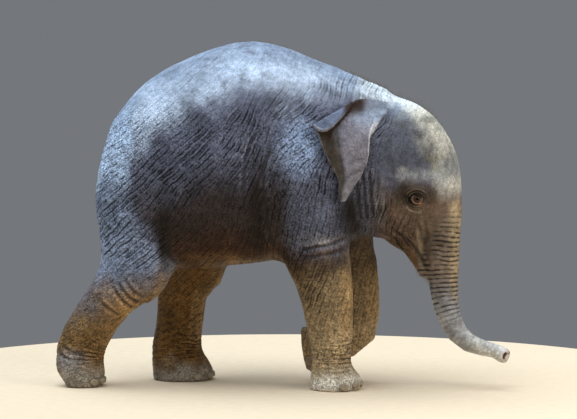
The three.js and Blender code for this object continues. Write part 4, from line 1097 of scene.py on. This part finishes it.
def shape_nostrils(points, dark, tint):
    """The trunk's open end with its two nostrils and its finger. Points are in metres."""
    at = np.array(placed(*NOSTRILS["at"]))
    way = np.array(Vector(NOSTRILS["way"]).normalized())
    across = np.cross(way, (0, 0, 1))
    across /= np.linalg.norm(across)
    over = np.cross(across, way)
    gap = (points - at) / MM
    near = np.linalg.norm(gap, axis=1) < 60
    gap = gap[near]
    t, s, w = gap @ way, gap @ across, gap @ over
    finger = np.exp(-((s / 9) ** 2) - ((w - 22) / 9) ** 2)
    face = np.hypot(s, w * 0.95)
    beyond = np.maximum(t + 1.0 - 9.0 * finger, 0.0)
    move = -beyond * smooth_step(31 - face, 0, 6)
    front = smooth_step(t, -9, -1)
    holes = np.zeros(len(t))
    for side in (-1, 1):
        off = np.hypot(s - side * NOSTRILS["apart"], (w - 3) * 0.75)
        holes = np.maximum(holes, smooth_step(NOSTRILS["radius"] - off, -1.5, 3.0))
    move -= holes * front * NOSTRILS["depth"]
    dish = np.exp(-((face / 17) ** 4)) * front * 4.0
    move -= dish
    points[near] += move[:, None] * way[None] * MM
    share = (np.clip(np.exp(-((face / 21) ** 4)) * front, 0, 1) * 0.85)[:, None]
    tones = tint[near] * (1 - share) + np.array((0.36, 0.22, 0.17)) * share
    # Painted shade deep in the nostrils.
    deep = holes[:, None] * front[:, None]
    tint[near] = tones * (1 - deep) + np.array((0.030, 0.014, 0.009)) * deep
    dark[near] *= 1 - share[:, 0]


def build_skin(settings):
    ears = Ears(settings.ear_thickness)
    mesh = bare_skin(settings, ears)
    points, normals = read_points(mesh), read_normals(mesh)
    height = fold_height(drawn(points), normals, settings, ears)
    write_points(mesh, points + normals * (height * MM)[:, None])
    mesh = with_modifier(mesh, "TRIANGULATE")
    share = settings.most_triangles / len(mesh.polygons)
    mesh = with_modifier(mesh, "DECIMATE", decimate_type="COLLAPSE", ratio=share)
    eyes = [Eye(-1), Eye(1)]
    places = [(eye.centre + eye.ahead * 0.012, 0.054, 2) for eye in eyes]
    refined(mesh, places + [(placed(*NOSTRILS["at"]), 0.042, 2)])
    points, normals = read_points(mesh), read_normals(mesh)
    spots = drawn(points)
    ears_read = ears.read(spots)
    run, trunk, legs, wrist = limb_runs(spots)
    _, dark, light = crease_depth(spots, normals)
    dark *= 1 - ears_read[0]
    tint = skin_tint(spots, normals, settings, ears_read, trunk)
    # Painted highlight next to the deep creases.
    light = (light * (1 - ears_read[0]) * (1 - 0.55 * smooth_step(spots[:, 0], 390, 430)))[:, None]
    tint *= 1 + 0.70 * light
    # Painted shade in the ear's own creases.
    dark = np.maximum(dark, ears_read[0] * ear_lines(*ears_read[1:3]) * 0.7)
    slope, show, crossing, netted = wrinkle_lie(spots, np.maximum.reduce((ears_read[0], trunk, 0.35 * legs)))
    for eye in eyes:
        shape_lids(points, dark, tint, eye)
        quiet = smooth_step(np.linalg.norm(eye.local(points), axis=1), 30, 52)
        show *= quiet
        crossing *= quiet
    shape_nostrils(points, dark, tint)
    points[:, 2] = np.maximum(points[:, 2], 0.0)
    write_points(mesh, points)
    ring_share = trunk * (1 - 0.75 * smooth_step(run, 400, 540)) * ring_start(spots)
    ring_share += legs * (0.15 + 0.85 * wrist) * (0.45 + 0.55 * smooth_step(normals[:, 0], -0.3, 0.5))
    level = np.clip(legs * (0.18 + 0.3 * wrist) + 0.25 * trunk, 0, 1)
    ringed = (run * MM, ring_share, level, np.ones(len(run)))
    give_attribute(mesh, "tint", "FLOAT_COLOR", np.column_stack((tint, np.ones(len(tint)))))
    give_attribute(mesh, "crease_shade", "FLOAT", dark)
    give_attribute(mesh, "lie", "FLOAT_COLOR", np.column_stack((slope / 100, show, crossing, netted)))
    give_attribute(mesh, "ringed", "FLOAT_COLOR", np.column_stack(ringed))
    return mesh


class CALF_OT_skin(bpy.types.Operator):
    """Builds the one skin that covers all the flesh and both ears"""

    bl_idname = "calf.skin"
    bl_label = "Skin"

    def execute(self, context):
        settings = context.scene.calf_skin
        mesh = build_skin(settings)
        add_piece("skin", mesh, skin_material(settings), FLESH + EARS)
        return {"FINISHED"}


# ------------------------------------------------------------------ eyes
def eye_material(settings, eye, name):
    """A wet eye: pinkish white, brown iris with a dark edge, and a black pupil."""
    nodes = Nodes(name)
    centre = tuple(eye.centre)
    gap = nodes.add(
        "VectorMath", {0: nodes.add("TexCoord").outputs["Object"], 1: centre}, operation="SUBTRACT"
    ).outputs[0]
    deep = nodes.add("VectorMath", {0: gap, 1: tuple(eye.ahead)}, operation="DOT_PRODUCT").outputs["Value"]
    along = nodes.add("VectorMath", {0: tuple(eye.ahead), "Scale": deep}, operation="SCALE").outputs[0]
    flat = nodes.add("VectorMath", {0: gap, 1: along}, operation="SUBTRACT").outputs[0]
    off = nodes.add("VectorMath", {0: flat}, operation="LENGTH").outputs["Value"]
    spoke = nodes.noise(nodes.place(), 900.0, detail=2.0)
    veins = nodes.noise(nodes.place(), 260.0, detail=4.0, roughness=0.7)
    veined = nodes.steps(veins, (0.45, 0.0), (0.75, 0.5))
    white = nodes.mix(veined, (*settings.white, 1), (0.30, 0.13, 0.10, 1))
    spoked = nodes.steps(spoke, (0.3, 0.0), (0.7, 1.0))
    iris = nodes.mix(spoked, (*settings.iris, 1), (0.085, 0.040, 0.018, 1))
    edge = nodes.math("DIVIDE", off, settings.iris_radius)
    inside = nodes.steps(nodes.math("MULTIPLY", edge, 0.5), (0.47, 1.0), (0.52, 0.0))
    rim = nodes.steps(nodes.math("MULTIPLY", edge, 0.5), (0.38, 0.0), (0.46, 0.85), (0.53, 0.0))
    pupil = nodes.steps(nodes.math("MULTIPLY", off, 0.5 / settings.pupil_radius), (0.45, 1.0), (0.5, 0.0))
    tone = nodes.mix(inside, white, iris)
    tone = nodes.mix(rim, tone, (0.012, 0.008, 0.006, 1))
    tone = nodes.mix(pupil, tone, (0.002, 0.002, 0.002, 1))
    nodes.feed(nodes.shader.inputs["Base Color"], tone)
    nodes.shader.inputs["Roughness"].default_value = 0.08
    nodes.shader.inputs["Specular IOR Level"].default_value = 0.14
    nodes.bump(veins, 0.05, 0.0003)
    return nodes.material


class CALF_OT_eyes(bpy.types.Operator):
    """Builds the two eyeballs, each with its cornea"""

    bl_idname = "calf.eyes"
    bl_label = "Eyes"

    def execute(self, context):
        settings = context.scene.calf_eyes
        for side, hand in (("right", -1), ("left", 1)):
            eye = Eye(hand)
            ball = bmesh.new()
            bmesh.ops.create_uvsphere(ball, u_segments=48, v_segments=32, radius=eye.radius)
            for vertex in ball.verts:
                off = math.hypot(vertex.co.x, vertex.co.y)
                if vertex.co.z > 0 and off < settings.iris_radius * 1.15:
                    vertex.co.z += settings.cornea * (1 - (off / (settings.iris_radius * 1.15)) ** 2)
            axes = Matrix((-hand * eye.front, eye.up, eye.ahead)).transposed()
            bmesh.ops.transform(ball, matrix=Matrix.Translation(eye.centre) @ axes.to_4x4(), verts=ball.verts)
            bmesh.ops.recalc_face_normals(ball, faces=ball.faces)
            mesh = bpy.data.meshes.new(f"eyeball_{side}")
            ball.to_mesh(mesh)
            ball.free()
            material = eye_material(settings, eye, f"wet_eye_{side}")
            add_piece(f"eyeball_{side}", mesh, material, [f"eye_{side}"])
        return {"FINISHED"}


# ------------------------------------------------------------------ toenails
def nail_material(settings):
    """Pale weathered horn with growth lines and darker stains."""
    nodes = Nodes("toenail_horn")
    line = nodes.noise(nodes.place(scale=(0.3, 0.3, 1.0)), 420.0, detail=3.0)
    stain = nodes.noise(nodes.place(), 60.0, detail=4.0, roughness=0.6)
    stained = nodes.steps(stain, (0.36, 0.0), (0.66, 0.85))
    tone = nodes.mix(stained, (*settings.horn, 1.0), (0.20, 0.155, 0.10, 1))
    tone = nodes.mix(nodes.steps(line, (0.35, 0.0), (0.75, 0.35)), tone, (0.38, 0.33, 0.25, 1))
    nodes.feed(nodes.shader.inputs["Base Color"], tone)
    nodes.feed(nodes.shader.inputs["Roughness"], nodes.math("MULTIPLY_ADD", stain, 0.25, 0.42))
    nodes.bump(line, 0.35, 0.0006)
    return nodes.material


class CALF_OT_toenails(bpy.types.Operator):
    """Rounds the toenails and gives them horn"""

    bl_idname = "calf.toenails"
    bl_label = "Toenails"

    def execute(self, context):
        nails = joined_solids(NAILS, 0.0)
        mesh = bpy.data.meshes.new("toenails")
        nails.to_mesh(mesh)
        nails.free()
        mesh = with_modifier(mesh, "BEVEL", width=0.0025, segments=2, limit_method="ANGLE", affect="EDGES")
        mesh = with_modifier(mesh, "SUBSURF", levels=1, render_levels=1)
        add_piece("toenails", mesh, nail_material(context.scene.calf_nails), NAILS)
        return {"FINISHED"}


# ------------------------------------------------------------------ hair
def hair_material(settings):
    """Coarse dark hair, a little lighter towards some strands."""
    nodes = Nodes("coarse_hair")
    streak = nodes.noise(nodes.place(), 45.0, detail=2.0)
    lighter = nodes.steps(streak, (0.35, 0.0), (0.65, 1.0))
    tone = nodes.mix(lighter, (*settings.hair, 1), (0.16, 0.11, 0.075, 1))
    nodes.feed(nodes.shader.inputs["Base Color"], tone)
    nodes.shader.inputs["Roughness"].default_value = 0.45
    return nodes.material


HAIR_PATCH = 0.003  # size of one hair's patch on the hair map
LASHES = 26  # over each eye
LASH_LINE = {"across": 16.5, "above": 13.0, "round": 23.0}  # the arc that their roots stand on
TUFT_HAIRS = 420


class Hairs:
    """Many thin three-sided bristles in one mesh."""

    def __init__(self):
        self.work = bmesh.new()
        self.map = self.work.loops.layers.uv.new("OFBake")

    def add(self, root, path, thickness, patch):
        """One bristle from its root through the points of its path, with a patch of the hair map."""
        spine = [root, *path]
        previous = None
        for number, point in enumerate(spine):
            ahead = (spine[min(number + 1, len(spine) - 1)] - spine[max(number - 1, 0)]).normalized()
            radius = thickness / 2 * (1 - 0.85 * number / (len(spine) - 1))
            aim = Matrix.Translation(point) @ ahead.to_track_quat("Z", "Y").to_matrix().to_4x4()
            circle = bmesh.ops.create_circle(self.work, cap_ends=False, segments=3, radius=radius, matrix=aim)
            ring = circle["verts"]
            if previous is None:
                faces = [self.work.faces.new(reversed(ring))]
            else:
                for k in range(3):
                    quad = (previous[k], previous[(k + 1) % 3], ring[(k + 1) % 3], ring[k])
                    faces.append(self.work.faces.new(quad))
            previous = ring
        faces.append(self.work.faces.new(previous))
        step = HAIR_PATCH / 2
        for face in faces:
            for number, loop in enumerate(face.loops):
                loop[self.map].uv = (patch[0] + step * (number % 3 == 1), patch[1] + step * (number > 1))

    def mesh(self, name):
        bmesh.ops.recalc_face_normals(self.work, faces=self.work.faces)
        mesh = bpy.data.meshes.new(name)
        self.work.to_mesh(mesh)
        self.work.free()
        return mesh


def unwrapped(point):
    """A place on the hair map: how far along the body it is, and the angle round it."""
    x, y, z = (float(value) for value in drawn(np.array(point)[None])[0])
    around = math.atan2(y, z - 700) / (2 * math.pi)
    return (0.02 + 0.94 * (x + 640) / 1500, 0.25 + 0.7 * (around + 0.5))


class CALF_OT_bristles(bpy.types.Operator):
    """Scatters sparse bristles on the crown, brow, back and chin, with lashes over the eyes"""

    bl_idname = "calf.bristles"
    bl_label = "Bristles and lashes"

    def execute(self, context):
        settings = context.scene.calf_hair
        skin = bpy.data.objects["skin"].data
        points, normals = read_points(skin), read_normals(skin)
        spots = drawn(points)
        x, _, z = spots.T
        up = normals[:, 2]
        crown = smooth_step(x, 250, 340) * smooth_step(up, 0.1, 0.6) * smooth_step(z, 880, 940)
        brow = smooth_step(x, 480, 540) * smooth_step(z, 740, 800) * 0.5
        back = smooth_step(up, 0.55, 0.9) * smooth_step(z, 900, 1000) * (1 - smooth_step(x, 230, 300)) * 0.16
        chin = smooth_step(x, 470, 500) * (1 - smooth_step(z, 400, 480)) * (x < 560) * 0.25
        weight = crown + brow + back + chin
        chance = np.random.default_rng(settings.seed)
        picked = chance.choice(len(points), size=settings.count, replace=False, p=weight / weight.sum())
        hairs = Hairs()
        for index in picked:
            root, normal = Vector(points[index]), Vector(normals[index])
            side = Vector(chance.normal(size=3))
            lean = Vector((-0.75, 0, 0.15)) if x[index] < 440 else Vector((0.45, 0, 0.3))
            if z[index] < 500:
                lean = Vector((0.3, 0, -0.9))
            way = (normal * 0.75 + lean * 0.6 + side * 0.14).normalized()
            shorter = 1.0 if crown[index] > 0.3 else 0.7
            size = settings.crown_length * (0.55 + 0.7 * chance.random()) * shorter
            bend = (lean * 0.35 - normal * 0.1) * size
            path = [root + way * size * 0.5, root + way * size + bend]
            hairs.add(root - normal * 0.001, path, settings.thickness, unwrapped(root))
        for hand in (-1, 1):
            eye = Eye(hand)
            for number in range(LASHES):
                share = number / (LASHES - 1) * 2 - 1
                turn = math.radians(90 - 62 * share)
                edge = Vector((math.cos(turn) * LASH_LINE["across"], math.sin(turn) * LASH_LINE["above"]))
                stand = math.sqrt(max(0.0, LASH_LINE["round"] ** 2 - edge.length_squared))
                base = eye.centre + (eye.front * edge.x + eye.up * edge.y + eye.ahead * stand) * MM
                way = (eye.ahead * 0.85 + eye.up * -0.28 + eye.front * 0.45 * share).normalized()
                size = 0.017 * (0.8 + 0.4 * chance.random())
                path = [base + way * size * 0.55, base + way * size + eye.up * -0.0015]
                hairs.add(base, path, settings.thickness * 0.8, unwrapped(base))
        add_piece("bristles", hairs.mesh("bristles"), hair_material(settings))
        return {"FINISHED"}


class CALF_OT_tuft(bpy.types.Operator):
    """Builds the tuft of long hair at the tail's tip"""

    bl_idname = "calf.tuft"
    bl_label = "Tail tuft"

    def execute(self, context):
        settings = context.scene.calf_hair
        low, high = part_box("tail_tuft")
        chance = np.random.default_rng(settings.seed + 1)
        hairs = Hairs()
        start, end = placed(-502, 70, 432), Vector(((low.x + high.x) / 2, (low.y + high.y) / 2, low.z))
        down = end - start
        side = down.cross(Vector((0, 1, 0))).normalized()
        front = down.cross(side).normalized()
        for _ in range(TUFT_HAIRS):
            gone = chance.random() ** 1.2 * 0.42
            turn = chance.random() * 2 * math.pi
            out = side * math.cos(turn) + front * math.sin(turn)
            root = start + down * gone + out * 0.0055
            size = settings.tuft_length * (0.6 + 0.5 * chance.random())
            size = min(size, (root.z - low.z) * 1.05)
            way = (down.normalized() + out * 0.16 + Vector(chance.normal(size=3)) * 0.05).normalized()
            path = [root + way * size * 0.3, root + way * size * 0.65, root + way * size - out * size * 0.12]
            patch = (0.05 + 0.25 * gone, 0.03 + 0.15 * turn / (2 * math.pi))
            hairs.add(root, path, settings.thickness, patch)
        add_piece("tail_hair", hairs.mesh("tail_hair"), hair_material(settings), ["tail_tuft"])
        return {"FINISHED"}


# ------------------------------------------------------------------ stage
# The camera: lens and sensor in millimetres, how far off in metres, its turn and tip in degrees, and the
# place on the drawing that it looks at.
CAMERA = {"lens": 131.1, "sensor": 36.0, "away": 7.0, "turn": 6.0, "tip": 3.0, "aim": (88, 0, 586)}


class CALF_OT_stage(bpy.types.Operator):
    """Sets the pale floor, the soft light and the camera"""

    bl_idname = "calf.stage"
    bl_label = "Stage"

    def execute(self, context):
        settings = context.scene.calf_stage
        scene = context.scene
        floor = bmesh.new()
        bmesh.ops.create_circle(floor, cap_ends=True, segments=128, radius=settings.floor_radius)
        mesh = bpy.data.meshes.new("floor")
        floor.to_mesh(mesh)
        floor.free()
        ground = bpy.data.objects.new("floor", mesh)
        scene.collection.objects.link(ground)
        nodes = Nodes("pale_floor")
        grain = nodes.noise(nodes.place(), 30.0, detail=3.0)
        darker = nodes.steps(grain, (0.3, 0.0), (0.7, 0.25))
        tone = nodes.mix(darker, (*settings.floor, 1), (0.62, 0.53, 0.41, 1))
        nodes.feed(nodes.shader.inputs["Base Color"], tone)
        nodes.shader.inputs["Roughness"].default_value = 0.9
        nodes.shader.inputs["Specular IOR Level"].default_value = 0.05
        mesh.materials.append(nodes.material)

        world = bpy.data.worlds.new("soft_room")
        scene.world = world
        world.use_nodes = True
        background = world.node_tree.nodes["Background"]
        background.inputs[0].default_value = (*settings.room, 1)
        background.inputs[1].default_value = settings.room_light

        sun = bpy.data.lights.new("overhead", "SUN")
        sun.energy = settings.overhead
        sun.angle = math.radians(70)
        sun.color = (0.82, 0.92, 1.0)
        self.aim("overhead", sun, (-0.8, -0.2, 4.0), (0, 0, 0))
        fill = bpy.data.lights.new("front_fill", "AREA")
        fill.shape = "SQUARE"
        fill.size = 2.0
        fill.energy = settings.fill
        fill.color = (1.0, 0.93, 0.84)
        self.aim("front_fill", fill, (3.6, -1.9, 2.2), (0.2, 0.0, 0.55))

        camera = bpy.data.cameras.new("camera")
        camera.lens = CAMERA["lens"]
        camera.sensor_width = CAMERA["sensor"]
        camera.sensor_fit = "HORIZONTAL"
        camera.clip_start = 0.1
        camera.clip_end = 100.0
        viewer = bpy.data.objects.new("camera", camera)
        scene.collection.objects.link(viewer)
        turn = math.radians(CAMERA["turn"])
        tip = math.radians(CAMERA["tip"])
        back = Vector((math.sin(turn) * math.cos(tip), -math.cos(turn) * math.cos(tip), math.sin(tip)))
        viewer.location = placed(*CAMERA["aim"]) + back * CAMERA["away"]
        viewer.rotation_mode = "QUATERNION"
        viewer.rotation_quaternion = (-back).to_track_quat("-Z", "Y")
        scene.camera = viewer
        scene.view_settings.view_transform = "Standard"
        return {"FINISHED"}

    def aim(self, name, light, place, target):
        lamp = bpy.data.objects.new(name, light)
        bpy.context.scene.collection.objects.link(lamp)
        lamp.location = place
        lamp.rotation_mode = "QUATERNION"
        lamp.rotation_quaternion = (Vector(target) - Vector(place)).to_track_quat("-Z", "Y")


# ------------------------------------------------------------------ panel and register
SETTINGS = {
    "calf_skin": CalfSkinSettings,
    "calf_eyes": CalfEyeSettings,
    "calf_nails": CalfNailSettings,
    "calf_hair": CalfHairSettings,
    "calf_stage": CalfStageSettings,
}
OPERATORS = [CALF_OT_stage, CALF_OT_skin, CALF_OT_eyes, CALF_OT_toenails, CALF_OT_bristles, CALF_OT_tuft]


class CALF_PT_build(bpy.types.Panel):
    bl_idname = "CALF_PT_build"
    bl_label = "Elephant calf"
    bl_space_type = "VIEW_3D"
    bl_region_type = "UI"
    bl_category = "Calf"

    def draw(self, context):
        for operator in OPERATORS:
            self.layout.operator(operator.bl_idname)


CLASSES = [*SETTINGS.values(), *OPERATORS, CALF_PT_build]


def register():
    for made in CLASSES:
        bpy.utils.register_class(made)
    for name, settings in SETTINGS.items():
        setattr(bpy.types.Scene, name, bpy.props.PointerProperty(type=settings))


def unregister():
    for name in SETTINGS:
        delattr(bpy.types.Scene, name)
    for made in reversed(CLASSES):
        bpy.utils.unregister_class(made)


def main():
    register()
    for operator in OPERATORS:
        getattr(bpy.ops.calf, operator.bl_idname.split(".")[1])()


if __name__ == "__main__":
    main()
